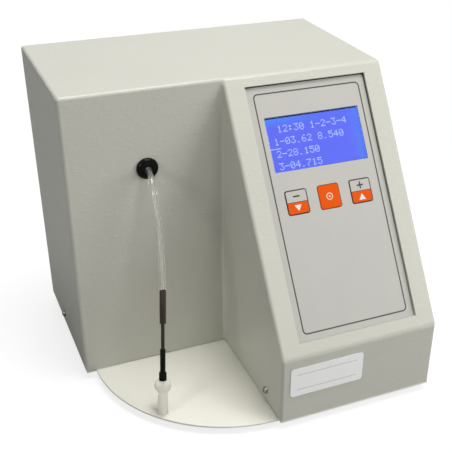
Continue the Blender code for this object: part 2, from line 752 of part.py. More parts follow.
def foot_places():
    """The middle of each foot, by the name of its corner."""
    across, out = (PLATFORM_FOOT_SHARE * math.sqrt(0.5) * radius for radius in platform_radii())
    return {
        "foot_rear_left": (CASE_LEFT + FOOT_INSET, REAR_Y - FOOT_INSET),
        "foot_rear_right": (CASE_RIGHT - FOOT_INSET, REAR_Y - FOOT_INSET),
        "foot_front_right": (CASE_RIGHT - FOOT_INSET, FRONT_Y + FOOT_INSET),
        "foot_platform": (CONSOLE_LEFT - across, WALL_Y - out),
    }


def rear_screw_places():
    """Where the screws along the rear panel's lower edge go."""
    return [(side * (CASE_RIGHT - REAR_SCREW_INSET), CASE_SCREW_Z) for side in (-1, 1)]


def make_base_tray(screw_holes):
    """The base plate with its platform, upturned flanges for the cover and pillars for the boards."""
    holes = [circle(FOOT_STEM_RADIUS + FIT, centre) for name, centre in foot_places().items()
             if name != "foot_platform"]
    plate = outline_mesh([base_outline(), *holes], FOOT_HEIGHT, PLATE_TOP)
    tray = place("base_tray", plate, "case_paint")
    inner, outer = SHEET + FIT, 2 * SHEET + FIT
    low, high = FOOT_HEIGHT + SHEET / 2, PLATE_TOP + FLANGE_HEIGHT
    rear_flange = REAR_INSIDE - FIT
    flanges = [
        box_mesh((CASE_LEFT + inner, WALL_Y + FLANGE_END, low),
                 (CASE_LEFT + outer, REAR_Y - FLANGE_END, high)),
        box_mesh((CASE_RIGHT - outer, FRONT_Y + FLANGE_END, low),
                 (CASE_RIGHT - inner, REAR_Y - FLANGE_END, high)),
        box_mesh((CONSOLE_LEFT + inner, FRONT_Y + FLANGE_END, low),
                 (CONSOLE_LEFT + outer, WALL_Y - FLANGE_END, high)),
        box_mesh((CASE_LEFT + FLANGE_END, rear_flange - SHEET, low),
                 (CASE_RIGHT - FLANGE_END, rear_flange, high)),
    ]
    flange_set = cutter("flanges", joined([(flange, Matrix()) for flange in flanges]))
    combine(tray, flange_set, "UNION")
    combine(tray, screw_holes, "DIFFERENCE")
    rear_hole = rod_mesh(SCREW_HOLE, -OVERRUN, OVERRUN)
    rear_holes = [(rear_hole, at(x, rear_flange, z) @ FACING_REAR) for x, z in rear_screw_places()]
    combine(tray, cutter("rear_holes", joined(rear_holes)), "DIFFERENCE")
    pillar = pillar_mesh(low, BOARD_UNDER - FIT)
    spots = board_corners(MAIN_BOARD, main_board_middle()) + board_corners(SUPPLY_BOARD, supply_middle())
    combine(tray, cutter("board_pillars", joined([(pillar, at(x, y, 0)) for x, y in spots])), "UNION")


def make_case_screws():
    """The screws in the sides, and the ones that hold the rear panel."""
    places = case_screw_places() + [at(x, REAR_FACE + FIT, z) @ FACING_REAR for x, z in rear_screw_places()]
    names = ("side_screw_left", "side_screw_bay", "side_screw_right_rear", "side_screw_right_front",
             "rear_screw_left", "rear_screw_right")
    for name, matrix in zip(names, places):
        place(name, screw_mesh(SCREW_LENGTH), "steel", matrix, smooth=True)


def make_screw_holes():
    """The cutter for the screw holes in the cover's sides and the tray's flanges."""
    flange_inside = 2 * (SHEET + FIT)
    hole = rod_mesh(SCREW_HOLE, -(flange_inside + OVERRUN), OVERRUN)
    return cutter("side_holes", joined([(hole, matrix) for matrix in case_screw_places()]))


def make_feet():
    """Three push-in rubber feet with a barbed stem, and a stick-on one under the platform."""
    top = FOOT_HEIGHT - FIT
    barb_low = PLATE_TOP + FIT
    barb = FOOT_STEM_RADIUS + FOOT_BARB
    barb_high = barb_low + FOOT_BARB_HEIGHT
    stem = [(0, barb_high), (FOOT_STEM_RADIUS - FOOT_BARB, barb_high), (barb, barb_low + FOOT_BARB),
            (barb, barb_low), (FOOT_STEM_RADIUS, barb_low), (FOOT_STEM_RADIUS, top)]
    pad = [(FOOT_RADIUS, top), (FOOT_RADIUS, FOOT_TAPER), (FOOT_RADIUS - FOOT_TAPER, 0), (0, 0)]
    for name, (x, y) in foot_places().items():
        upper = [(0, top)] if name == "foot_platform" else stem
        place(name, turned_mesh(upper + pad, 20), "black_rubber", at(x, y, 0), smooth=True)


def make_label():
    """The blank label on the lower front."""
    outline = rounded(LABEL_WIDTH, LABEL_HEIGHT, LABEL_CORNER)
    middle = (CONSOLE_LEFT + LABEL_LEFT + LABEL_WIDTH / 2, FRONT_Y - FIT,
              COVER_FOOT + LABEL_LOW + LABEL_HEIGHT / 2)
    label = outline_mesh([outline], 0, LABEL_THICKNESS)
    place("front_label", label, "label_white", at(*middle) @ FACING_FRONT)


# Rear panel and its fittings

def vent_outlines(middle_z):
    """The ventilation slots, in rows and columns."""
    slots = []
    for column in range(VENT_COLUMNS):
        x = (column - (VENT_COLUMNS - 1) / 2) * VENT_COLUMN_PITCH
        for row in range(VENT_ROWS):
            z = CASE_TOP - VENT_DROP - middle_z + (row - (VENT_ROWS - 1) / 2) * VENT_PITCH
            slots.append(rounded(VENT_LENGTH, VENT_WIDTH, VENT_WIDTH / 2, (x, z), steps=2))
    return slots


def make_rear_panel():
    """The flat rear panel; seen from behind, its X runs to the left."""
    low, high = PLATE_TOP + FIT, CASE_TOP - SHEET - FIT
    width = CASE_WIDTH - 2 * (SHEET + FIT)
    middle_z = (low + high) / 2
    level = FITTINGS_Z - middle_z
    outlines = [rounded(width, high - low, REAR_CORNER)]
    outlines += vent_outlines(middle_z)
    outlines.append(rectangle(INLET_BODY[0] + 2 * FIT, INLET_BODY[1] + 2 * FIT, (-INLET_X, level)))
    outlines.append(rectangle(SWITCH_BODY[0] + 2 * FIT, SWITCH_BODY[1] + 2 * FIT, (-SWITCH_X, level)))
    outlines.append(rectangle(SERIAL_SHELL[0] + 2 * FIT, SERIAL_SHELL[1] + 2 * FIT, (-SERIAL_X, level)))
    outlines += [circle(SCREW_HOLE, (-SERIAL_X + side * SERIAL_SCREW_PITCH / 2, level)) for side in (-1, 1)]
    outlines += [circle(SCREW_HOLE, (-x, z - middle_z)) for x, z in rear_screw_places()]
    place("rear_panel", outline_mesh(outlines, -SHEET, 0), "case_paint",
          at(0, REAR_FACE, middle_z) @ FACING_REAR)


def make_power_inlet():
    """The snap-in mains inlet: a flanged socket with three blades on its floor."""
    seat = at(INLET_X, REAR_FACE + FIT, FITTINGS_Z) @ FACING_REAR
    width, height, thickness = INLET_FLANGE
    flange = outline_mesh([rounded(width, height, INLET_CORNER)], 0, thickness)
    inlet = place("power_inlet", flange, "black_plastic", seat)
    body_width, body_height, body_depth = INLET_BODY
    body = box_mesh((-body_width / 2, -body_height / 2, -body_depth),
                    (body_width / 2, body_height / 2, thickness / 2))
    combine(inlet, cutter("inlet_body", body, seat), "UNION")
    cavity_width, cavity_height, cavity_depth = INLET_CAVITY
    floor = thickness - cavity_depth
    cavity = outline_mesh([rounded(cavity_width, cavity_height, INLET_CORNER)], floor, thickness + OVERRUN)
    combine(inlet, cutter("inlet_cavity", cavity, seat), "DIFFERENCE")
    blades = []
    for x, y in ((-PIN_PITCH, 0), (0, PIN_DROP), (PIN_PITCH, 0)):
        blade = centred_box(PIN_BLADE, (x, y - PIN_DROP / 2, floor + PIN_BLADE[2] / 2 - FIT))
        blades.append((blade, Matrix()))
    combine(inlet, cutter("inlet_blades", joined(blades), seat), "UNION")


def make_power_switch():
    """The rocker switch: a flanged frame and a rocker that tips on its own pins."""
    seat = at(SWITCH_X, REAR_FACE + FIT, FITTINGS_Z) @ FACING_REAR
    width, height, thickness = SWITCH_FLANGE
    flange = outline_mesh([rectangle(width, height)], 0, thickness)
    frame = place("switch_frame", flange, "black_plastic", seat)
    body_width, body_height, body_depth = SWITCH_BODY
    body = box_mesh((-body_width / 2, -body_height / 2, -body_depth),
                    (body_width / 2, body_height / 2, thickness / 2))
    combine(frame, cutter("switch_body", body, seat), "UNION")
    opening_width, opening_height, opening_depth = SWITCH_OPENING
    opening = box_mesh((-opening_width / 2, -opening_height / 2, thickness - opening_depth),
                       (opening_width / 2, opening_height / 2, thickness + OVERRUN))
    combine(frame, cutter("switch_opening", opening, seat), "DIFFERENCE")
    pivot = seat @ at(0, 0, -ROCKER_PIVOT_DEPTH)
    bore_reach = opening_width / 2 + ROCKER_PIN_REACH + FIT
    bore = rod_mesh(ROCKER_PIN_RADIUS + FIT, -bore_reach, bore_reach)
    sideways = Matrix.Rotation(math.pi / 2, 4, "Y")
    combine(frame, cutter("rocker_bore", bore, pivot @ sideways), "DIFFERENCE")
    half, shoulder_share, root_share = ROCKER_LENGTH / 2, 0.3, 0.4
    side = [(half, ROCKER_RISE), (0, ROCKER_RISE - ROCKER_DISH), (-half, ROCKER_RISE),
            (-half, shoulder_share * ROCKER_RISE), (-root_share * half, -ROCKER_ROOT),
            (root_share * half, -ROCKER_ROOT), (half, shoulder_share * ROCKER_RISE)]
    tilt = Matrix.Rotation(ROCKER_TILT, 4, "X")
    rocker = place("power_rocker", outline_mesh([side], -ROCKER_WIDTH / 2, ROCKER_WIDTH / 2),
                   "black_plastic", pivot @ tilt @ SIDE_VIEW)
    pin_reach = opening_width / 2 + ROCKER_PIN_REACH
    pin = rod_mesh(ROCKER_PIN_RADIUS, -pin_reach, pin_reach)
    combine(rocker, cutter("rocker_pins", pin, pivot @ tilt @ SIDE_VIEW), "UNION")


def make_serial_port():
    """The nine-way serial socket with its two hexagon studs."""
    seat = at(SERIAL_X, REAR_FACE + FIT, FITTINGS_Z) @ FACING_REAR
    width, height, thickness = SERIAL_FLANGE
    flange = outline_mesh([rounded(width, height, height / 4)], 0, thickness)
    port = place("serial_port", flange, "steel", seat)
    shell_width, shell_height, shell_reach = SERIAL_SHELL
    narrow = shell_width - SERIAL_SHELL_NARROWING
    shell = [(shell_width / 2, shell_height / 2), (-shell_width / 2, shell_height / 2),
             (-narrow / 2, -shell_height / 2), (narrow / 2, -shell_height / 2)]
    body = outline_mesh([shell], -SERIAL_ROOT, shell_reach)
    combine(port, cutter("serial_shell", body, seat), "UNION")
    head = outline_mesh([circle(SERIAL_STUD_RADIUS, steps=6)], thickness / 2, SERIAL_STUD_REACH)
    shank = rod_mesh(SCREW_RADIUS, -SERIAL_ROOT, thickness / 2 + SERIAL_STUD_REACH / 2, 8)
    combine(port, cutter("serial_shanks", joined(
        [(shank, at(side * SERIAL_SCREW_PITCH / 2, 0, 0)) for side in (-1, 1)]), seat), "UNION")
    combine(port, cutter("serial_heads", joined(
        [(head, at(side * SERIAL_SCREW_PITCH / 2, 0, 0)) for side in (-1, 1)]), seat), "UNION")


# Sloping control panel

def key_offsets():
    """The keys' names and their places across the panel."""
    return {"key_down": -KEY_PITCH, "key_enter": 0, "key_up": KEY_PITCH}


def key_finish(name):
    """The key in the middle is orange, and the outer ones are white above their printed half."""
    return "key_orange" if name == "key_enter" else "key_white"


def make_panel(axes):
    """The adhesive foam gasket, the aluminium plate with its pillars, and the printed overlay on it."""
    middle = (0, OPENING_MIDDLE)
    rim = 2 * GASKET_WIDTH
    outer = rectangle(OPENING_WIDTH + rim, OPENING_LENGTH + rim, middle)
    gasket = [outer, rectangle(OPENING_WIDTH, OPENING_LENGTH, middle)]
    place("panel_gasket", outline_mesh(gasket, GASKET_BACK, GASKET_BACK + GASKET_THICKNESS),
          "black_rubber", parent=axes)
    window = rounded(WINDOW_WIDTH + 2 * FIT, WINDOW_HEIGHT + 2 * FIT, WINDOW_CORNER, (0, WINDOW_MIDDLE))
    keys = [rounded(KEY_WIDTH + 2 * FIT, KEY_HEIGHT + 2 * FIT, KEY_CORNER, (x, KEY_MIDDLE))
            for x in key_offsets().values()]
    lip = 2 * PANEL_LIP
    plate = [rectangle(OPENING_WIDTH + lip, OPENING_LENGTH + lip, middle), window, *keys]
    panel = place("panel_plate", outline_mesh(plate, PANEL_BACK, PANEL_FRONT), "aluminium", parent=axes)
    root = PANEL_PLATE_THICKNESS / 2
    for name, spots, front in (("display_pillars", display_corners(), DISPLAY_BOARD_FRONT),
                               ("key_board_pillars", key_board_corners(), KEY_BOARD_FRONT)):
        pillar = pillar_mesh(-root, PANEL_BACK - front - FIT)
        pillars = joined([(pillar, at(x, y, PANEL_BACK) @ FACING_DOWN) for x, y in spots])
        combine(panel, cutter(name, pillars, parent=axes), "UNION")
    margin = 2 * OVERLAY_MARGIN
    film = rounded(OPENING_WIDTH - margin, OPENING_LENGTH - margin, OVERLAY_CORNER, middle)
    place("panel_overlay", outline_mesh([film, window, *keys], OVERLAY_BACK, OVERLAY_FRONT),
          "overlay_film", parent=axes)


def display_corners():
    """The display board's pillars, in the panel's axes."""
    return corners(*DISPLAY_PILLARS, (0, WINDOW_MIDDLE))


def key_board_corners():
    """The key board's pillars, in the panel's axes."""
    return corners(*KEY_PILLARS, (0, KEY_MIDDLE))


def make_display(axes):
    """The display: clear window, lit glass, metal bezel round it and the board behind."""
    middle = (0, WINDOW_MIDDLE)
    window = rounded(WINDOW_WIDTH, WINDOW_HEIGHT, WINDOW_CORNER, middle)
    place("display_window", outline_mesh([window], PANEL_BACK, OVERLAY_FRONT), "clear_plastic", parent=axes)
    glass_width, glass_height = WINDOW_WIDTH + 2 * GLASS_MARGIN, WINDOW_HEIGHT + 2 * GLASS_MARGIN
    glass = rectangle(glass_width, glass_height, middle)
    place("display_glass", outline_mesh([glass], GLASS_BACK, GLASS_FRONT), "display_blue", parent=axes)
    inner = rectangle(glass_width + 2 * FIT, glass_height + 2 * FIT, middle)
    outer = rectangle(glass_width + 2 * BEZEL_RIM, glass_height + 2 * BEZEL_RIM, middle)
    place("display_bezel", outline_mesh([outer, inner], GLASS_BACK, GLASS_FRONT), "steel", parent=axes)
    board = [rectangle(*DISPLAY_BOARD, middle)] + [circle(SCREW_HOLE, centre) for centre in display_corners()]
    back = DISPLAY_BOARD_FRONT - BOARD_THICKNESS
    place("display_board", outline_mesh(board, back, DISPLAY_BOARD_FRONT), "board_green", parent=axes)


def make_keys(axes):
    """Three push keys over their switches, which are soldered on a narrow board."""
    for name, x in key_offsets().items():
        cap = outline_mesh([rounded(KEY_WIDTH, KEY_HEIGHT, KEY_CORNER)],
                           KEY_FLANGE_BACK + KEY_FLANGE_THICKNESS / 2, OVERLAY_FRONT + KEY_PROUD)
        key = place(name, cap, key_finish(name), at(x, KEY_MIDDLE, 0), parent=axes)
        flange_width, flange_height = KEY_WIDTH + 2 * KEY_FLANGE, KEY_HEIGHT + 2 * KEY_FLANGE
        flange = box_mesh((-flange_width / 2, -flange_height / 2, KEY_FLANGE_BACK),
                          (flange_width / 2, flange_height / 2, PANEL_BACK - FIT))
        combine(key, cutter(name + "_flange", flange, at(x, KEY_MIDDLE, 0), axes), "UNION")
        plunger = rod_mesh(KEY_PLUNGER_RADIUS, KEY_BACK, KEY_FLANGE_BACK + KEY_FLANGE_THICKNESS / 2)
        combine(key, cutter(name + "_plunger", plunger, at(x, KEY_MIDDLE, 0), axes), "UNION")
    cap_back = SWITCH_CAP_FRONT - SWITCH_CAP_HEIGHT
    switch = turned_mesh([(0, SWITCH_CAP_FRONT), (SWITCH_CAP_RADIUS, SWITCH_CAP_FRONT),
                          (SWITCH_CAP_RADIUS, cap_back), (SWITCH_CAN / 2, cap_back),
                          (SWITCH_CAN / 2, SWITCH_CAN_BACK), (0, SWITCH_CAN_BACK)], SMALL_STEPS)
    switches = [(switch, at(x, KEY_MIDDLE, 0)) for x in key_offsets().values()]
    board = [rectangle(*KEY_BOARD, (0, KEY_MIDDLE))]
    board += [circle(SCREW_HOLE, centre) for centre in key_board_corners()]
    back = KEY_BOARD_FRONT - BOARD_THICKNESS
    key_board = place("key_board", outline_mesh(board, back, KEY_BOARD_FRONT), "board_green", parent=axes)
    combine(key_board, cutter("key_switches", joined(switches), parent=axes), "UNION")


# Intake hose and probe

def make_grommet():
    """The domed rubber grommet that grips the recess wall round the hose."""
    bore = HOSE_RADIUS + FIT
    groove = GROMMET_HOLE_RADIUS - FIT
    front, back = FIT, -(SHEET + FIT)
    dome_steps = 5
    profile = []
    for step in range(dome_steps + 1):
        angle = math.pi / 2 * (1 - step / dome_steps)
        profile.append((bore + (GROMMET_RADIUS - bore) * math.cos(angle), front + GROMMET_DOME * math.sin(angle)))
    profile += [(groove, front), (groove, back), (GROMMET_RADIUS, back),
                (GROMMET_HOLE_RADIUS, back - GROMMET_BACK), (bore, back - GROMMET_BACK)]
    place("grommet", turned_mesh(profile, ring=True), "black_rubber",
          Matrix.Translation(GROMMET) @ FACING_FRONT, smooth=True)


def probe_heights():
    """How far up the probe's axis each of its pieces starts, from the tip."""
    collar_low = NOZZLE_LENGTH + FIT
    lower_sleeve_low = collar_low + COLLAR_LENGTH + FIT
    lower_sleeve_high = lower_sleeve_low + LOWER_SLEEVE_LENGTH
    return collar_low, lower_sleeve_low, lower_sleeve_high, PROBE_LENGTH - SLEEVE_LENGTH, PROBE_LENGTH


def hose_route():
    """The hose's centre line, from inside the grommet to the top of the probe."""
    _, _, _, _, sleeve_high = probe_heights()
    start = [GROMMET + Vector((0, SHEET / 2, 0))]
    middle = [Vector((CASE_LEFT + x, WALL_Y - y, COVER_FOOT + z)) for x, y, z in HOSE_ROUTE]
    end = [TIP + PROBE_AXIS * (sleeve_high + FIT)]
    return smooth_route(start + middle + end, HOSE_SPACING)


def make_hose():
    """The clear intake hose; it turns in the grommet, so its origin is there."""
    route = [point - GROMMET for point in hose_route()]
    mesh = tube_mesh(route, HOSE_RADIUS, HOSE_RESOLUTION)
    place("sample_hose", mesh, "clear_plastic", Matrix.Translation(GROMMET), smooth=True)


def make_probe():
    """The probe: upper sleeve, steel tube, lower sleeve, collar and nozzle, all on one slanted axis."""
    collar_low, lower_low, lower_high, sleeve_low, sleeve_high = probe_heights()
    axis = Matrix.Translation(TIP - GROMMET) @ along(PROBE_AXIS)
    origin = Matrix.Translation(GROMMET)
    grip = TUBE_RADIUS + FIT
    tube_low, tube_high = collar_low - TUBE_GRIP / 2, sleeve_low + TUBE_GRIP
    floor = tube_high + FIT

    def on_axis(name, mesh, finish_name):
        mesh.transform(axis)
        place(name, mesh, finish_name, origin, smooth=True)

    sleeve = [(0, sleeve_high), (SLEEVE_RADIUS, sleeve_high), (SLEEVE_RADIUS, sleeve_low),
              (grip, sleeve_low), (grip, floor), (0, floor)]
    on_axis("hose_sleeve", turned_mesh(sleeve, SMALL_STEPS), "brown_sleeve")
    on_axis("intake_tube", turned_mesh(tube_profile(TUBE_RADIUS, TUBE_BORE, tube_low, tube_high),
                                       SMALL_STEPS, ring=True), "steel")
    on_axis("lower_sleeve", turned_mesh(tube_profile(LOWER_SLEEVE_RADIUS, grip, lower_low, lower_high),
                                        SMALL_STEPS, ring=True), "black_rubber")
    on_axis("tube_collar", turned_mesh(tube_profile(COLLAR_RADIUS, grip, collar_low,
                                                    collar_low + COLLAR_LENGTH), SMALL_STEPS, ring=True),
            "black_plastic")
    on_axis("nozzle", turned_mesh(nozzle_profile(grip, tube_low), ring=True), "white_plastic")


def nozzle_profile(grip, tube_low):
    """The nozzle's outline: a bulged flange on a slim barrel with a small rim, and its stepped bore."""
    flange_low = NOZZLE_LENGTH - NOZZLE_FLANGE_LENGTH
    rise_shares = (1.0, 0.82, 0.60, 0.38, 0.16, 0.0)
    width_shares = (0.55, 0.88, 1.0, 0.96, 0.55, 0.12)
    swell = NOZZLE_FLANGE_RADIUS - NOZZLE_RADIUS
    profile = [(NOZZLE_RADIUS + swell * width, flange_low + NOZZLE_FLANGE_LENGTH * rise)
               for rise, width in zip(rise_shares, width_shares)]
    profile += [(NOZZLE_RADIUS, NOZZLE_RIM + NOZZLE_RIM_STEP), (NOZZLE_RADIUS + NOZZLE_RIM_STEP, NOZZLE_RIM),
                (NOZZLE_RADIUS + NOZZLE_RIM_STEP, 0), (NOZZLE_CAVITY_RADIUS, 0),
                (NOZZLE_CAVITY_RADIUS, NOZZLE_CAVITY_DEPTH), (grip, NOZZLE_CAVITY_DEPTH),
                (grip, NOZZLE_LENGTH)]
    return profile


# Measuring cell and pump

def make_measuring_cell():
    """The aluminium measuring cell with its hose nipples on its shelf, two sensors and a heater."""
    width, depth, height = CELL_WIDTH, CELL_DEPTH, CELL_HEIGHT
    middle = Vector((BAY_MIDDLE, CELL_MIDDLE_Y, CELL_LOW + height / 2))
    block = centred_box((width, depth, height), (0, 0, 0))
    cell = place("measuring_cell", block, "aluminium", Matrix.Translation(middle))
    bevelled(cell, CELL_BEVEL)
    sensor = rod_mesh(CELL_SENSOR_RADIUS, 0, CELL_SENSOR_LENGTH, 16)
    left = Matrix.Translation(middle + Vector((-width / 2 - FIT, 0, 0))) @ FACING_LEFT
    right = Matrix.Translation(middle + Vector((width / 2 + FIT, 0, 0))) @ FACING_RIGHT
    place("cell_sensor_left", sensor, "steel", left, smooth=True)
    place("cell_sensor_right", sensor.copy(), "steel", right, smooth=True)
    heater = centred_box((width - 2 * CELL_HEATER_INSET, CELL_HEATER_DEPTH, CELL_HEATER_HEIGHT), (0, 0, 0))
    heater_y = CELL_MIDDLE_Y - depth / 2 - FIT - CELL_HEATER_DEPTH / 2
    place("cell_heater", heater, "white_plastic", at(middle.x, heater_y, middle.z))
    barb = rod_mesh(BARB_RADIUS, -BARB_HEIGHT, BARB_HEIGHT, BARB_STEPS)
    barbs = [(barb, at(middle.x + side * BARB_PITCH / 2, CELL_MIDDLE_Y, CELL_TOP)) for side in (-1, 1)]
    combine(cell, cutter("cell_nipples", joined(barbs)), "UNION")
    low, shelf = PLATE_TOP + FIT, CELL_LOW - FIT
    front, rear = CELL_MIDDLE_Y - depth / 2, CELL_MIDDLE_Y + depth / 2
    side_view = [(front, shelf), (front, shelf - BRACKET_SHEET), (rear - BRACKET_SHEET, shelf - BRACKET_SHEET),
                 (rear - BRACKET_SHEET, low), (rear + BRACKET_FOOT, low),
                 (rear + BRACKET_FOOT, low + BRACKET_SHEET), (rear, low + BRACKET_SHEET), (rear, shelf)]
    bracket = outline_mesh([side_view], middle.x - width / 2, middle.x + width / 2)
    place("cell_bracket", bracket, "aluminium", SIDE_VIEW)


def pump_screw_places():
    """The pump's two screws, across a diagonal of its housing."""
    x = PUMP_WIDTH / 2 - PUMP_SCREW_MARGIN
    return [(x, PUMP_ABOVE - PUMP_SCREW_MARGIN), (-x, PUMP_SCREW_MARGIN - PUMP_BELOW)]


def pump_outline():
    """The U-shaped track housing: a block with a round-bottomed channel, open at the top."""
    half = PUMP_WIDTH / 2
    outline = [(half, PUMP_ABOVE), (TRACK_RADIUS, PUMP_ABOVE)]
    arc_steps = 20
    for step in range(arc_steps + 1):
        angle = -math.pi * step / arc_steps
        outline.append((TRACK_RADIUS * math.cos(angle), TRACK_RADIUS * math.sin(angle)))
    outline += [(-TRACK_RADIUS, PUMP_ABOVE), (-half, PUMP_ABOVE), (-half, -PUMP_BELOW), (half, -PUMP_BELOW)]
    return outline


def pump_plane(x, y, out):
    """A point in the pump's own axes: across, up and out to the front."""
    return PUMP_AXIS + Vector((x, -out, y))


def make_pump_frame():
    """The bracket, the track housing, the clear cover and the screws through all three."""
    seat = Matrix.Translation(PUMP_AXIS) @ FACING_FRONT
    holes = [circle(SCREW_HOLE, centre, 8) for centre in pump_screw_places()]
    height = PUMP_UP + PUMP_ABOVE - FIT
    middle = (0, PUMP_ABOVE - height / 2)
    shaft_hole = circle(ROTOR_SHAFT_RADIUS + FIT, steps=16)
    riser = outline_mesh([rectangle(PUMP_WIDTH, height, middle), shaft_hole, *holes], -BRACKET_SHEET, 0)
    bracket = place("pump_bracket", riser, "aluminium", seat)
    low = PLATE_TOP + FIT
    foot = box_mesh((PUMP_X - PUMP_WIDTH / 2, PUMP_PLATE_Y - BRACKET_FOOT, low),
                    (PUMP_X + PUMP_WIDTH / 2, PUMP_PLATE_Y + BRACKET_SHEET / 2, low + BRACKET_SHEET))
    combine(bracket, cutter("pump_foot", foot), "UNION")
    housing = outline_mesh([pump_outline(), *holes], FIT, FIT + PUMP_DEPTH)
    place("pump_housing", housing, "white_plastic", seat, smooth=True)
    cover_low = PUMP_DEPTH + 2 * FIT
    cover_high = cover_low + PUMP_COVER_THICKNESS
    plate = rectangle(PUMP_WIDTH, PUMP_ABOVE + PUMP_BELOW, (0, (PUMP_ABOVE - PUMP_BELOW) / 2))
    place("pump_cover", outline_mesh([plate, *holes], cover_low, cover_high), "clear_plastic", seat)
    for side, (x, y) in zip(("upper", "lower"), pump_screw_places()):
        screw = screw_mesh(cover_high + FIT + BRACKET_SHEET, steps=8)
        place("pump_screw_" + side, screw, "steel", seat @ at(x, y, cover_high + FIT), smooth=True)


def make_pump_rotor():
    """The rotor with its pins and shaft, and three rollers that the front cover keeps in place."""
    seat = Matrix.Translation(PUMP_AXIS) @ FACING_FRONT
    disc_low = FIT + ROTOR_DISC_GAP
    profile = [(0, ROTOR_HUB_TOP), (ROTOR_HUB_RADIUS, ROTOR_HUB_TOP), (ROTOR_HUB_RADIUS, ROTOR_DISC_TOP),
               (ROTOR_DISC_RADIUS, ROTOR_DISC_TOP), (ROTOR_DISC_RADIUS, disc_low),
               (ROTOR_SHAFT_RADIUS, disc_low), (ROTOR_SHAFT_RADIUS, -ROTOR_SHAFT_REACH),
               (0, -ROTOR_SHAFT_REACH)]
    rotor = place("pump_rotor", turned_mesh(profile), "black_plastic", seat, smooth=True)
    pins = []
    for index in range(ROLLER_COUNT):
        angle = math.pi / 2 + 2 * math.pi * index / ROLLER_COUNT
        x, y = ROLLER_CIRCLE * math.cos(angle), ROLLER_CIRCLE * math.sin(angle)
        pin = rod_mesh(ROTOR_PIN_RADIUS, ROTOR_DISC_TOP - ROTOR_DISC_THICKNESS / 2, ROTOR_HUB_TOP)
        pins.append((pin, at(x, y, 0)))
        roller = tube_profile(ROLLER_RADIUS, ROTOR_PIN_RADIUS + FIT, ROTOR_DISC_TOP + FIT,
                              ROTOR_HUB_TOP - FIT)
        place("pump_roller_%d" % (index + 1), turned_mesh(roller, 20, ring=True), "white_plastic",
              seat @ at(x, y, 0), smooth=True)
    combine(rotor, cutter("rotor_pins", joined(pins), seat), "UNION")


def make_pump_motor():
    """The geared motor behind the bracket, with a blind bore for the rotor's shaft."""
    front = -(BRACKET_SHEET + FIT)
    bore = ROTOR_SHAFT_RADIUS + FIT
    floor = -(ROTOR_SHAFT_REACH + FIT)
    gearbox = front - MOTOR_GEARBOX_LENGTH
    profile = [(0, floor), (bore, floor), (bore, front), (MOTOR_RADIUS, front), (MOTOR_RADIUS, gearbox),
               (MOTOR_CAN_RADIUS, gearbox), (MOTOR_CAN_RADIUS, front - MOTOR_LENGTH), (0, front - MOTOR_LENGTH)]
    place("pump_motor", turned_mesh(profile), "steel", Matrix.Translation(PUMP_AXIS) @ FACING_FRONT,
          smooth=True)


def make_inner_hoses():
    """The hose from the grommet to the cell, and the pump tube from the cell round the rotor to its vent."""
    fitting_z = CELL_TOP + BARB_HEIGHT + FIT
    inlet = GROMMET.copy()
    inlet.y += SHEET / 2 + FIT
    cell_in = Vector((BAY_MIDDLE - BARB_PITCH / 2, CELL_MIDDLE_Y, fitting_z))
    rise = Vector((0, 0, 2 * HOSE_RADIUS))
    run = cell_in.y - inlet.y
    drop = inlet.z - cell_in.z
    across = cell_in.x - inlet.x
    route = [inlet, inlet + Vector((0, run / 4, 0)),
             inlet + Vector((across / 4, run * 2 / 3, -drop / 8)),
             inlet + Vector((across * 3 / 4, run * 19 / 20, -drop / 2)),
             cell_in + 2 * rise, cell_in]
    place("cell_inlet_hose", tube_mesh(smooth_route(route, 2 * HOSE_SPACING), HOSE_RADIUS, 2), "silicone",
          smooth=True)
    cell_out = Vector((BAY_MIDDLE + BARB_PITCH / 2, CELL_MIDDLE_Y, fitting_z))
    climb = PUMP_ABOVE + 2 * PUMP_BEND_RADIUS
    left, right = -PUMP_BEND_RADIUS, PUMP_BEND_RADIUS
    start = pump_plane(left, 0, PUMP_TUBE_PLANE)
    bend = []
    bend_steps = 6
    for step in range(bend_steps + 1):
        angle = math.pi + math.pi * step / bend_steps
        bend.append(pump_plane(PUMP_BEND_RADIUS * math.cos(angle), PUMP_BEND_RADIUS * math.sin(angle),
                               PUMP_TUBE_PLANE))
    high = start.z + climb
    middle_x = (cell_out.x + start.x) / 2
    middle_y = (cell_out.y + start.y) / 2
    arch = [cell_out, cell_out + rise, cell_out + 3 * rise,
            Vector((middle_x, middle_y, high)),
            pump_plane(left, PUMP_ABOVE, PUMP_TUBE_PLANE), pump_plane(left, PUMP_ABOVE / 2, PUMP_TUBE_PLANE)]
    tail = [pump_plane(right, PUMP_ABOVE / 2, PUMP_TUBE_PLANE), pump_plane(right, PUMP_ABOVE, PUMP_TUBE_PLANE),
            pump_plane(right + VENT_TAIL_X / 2, PUMP_ABOVE + VENT_TAIL_X / 2, PUMP_TUBE_PLANE),
            pump_plane(right + VENT_TAIL_X, PUMP_ABOVE, PUMP_TUBE_PLANE),
            pump_plane(right + VENT_TAIL_X, PUMP_ABOVE - 2 * VENT_TAIL_X, PUMP_TUBE_PLANE)]
    route = smooth_route(arch + bend + tail, 3 * PUMP_TUBE_RADIUS)
    place("pump_tube", tube_mesh(route, PUMP_TUBE_RADIUS, 2), "silicone", smooth=True)


# Boards, supply and wiring

def board_corners(size, middle):
    """The places of a board's pillars on the base plate."""
    inset = 2 * BOARD_HOLE_INSET
    return corners(size[0] - inset, size[1] - inset, middle)


def main_board_middle():
    """The main board lies in the console."""
    return CONSOLE_MIDDLE, FRONT_Y + MAIN_BOARD_FRONT + MAIN_BOARD[1] / 2


def supply_middle():
    """The supply board lies behind the pump, at the right."""
    return (CASE_RIGHT - SUPPLY_RIGHT - SUPPLY_BOARD[0] / 2, REAR_Y - SUPPLY_REAR - SUPPLY_BOARD[1] / 2)


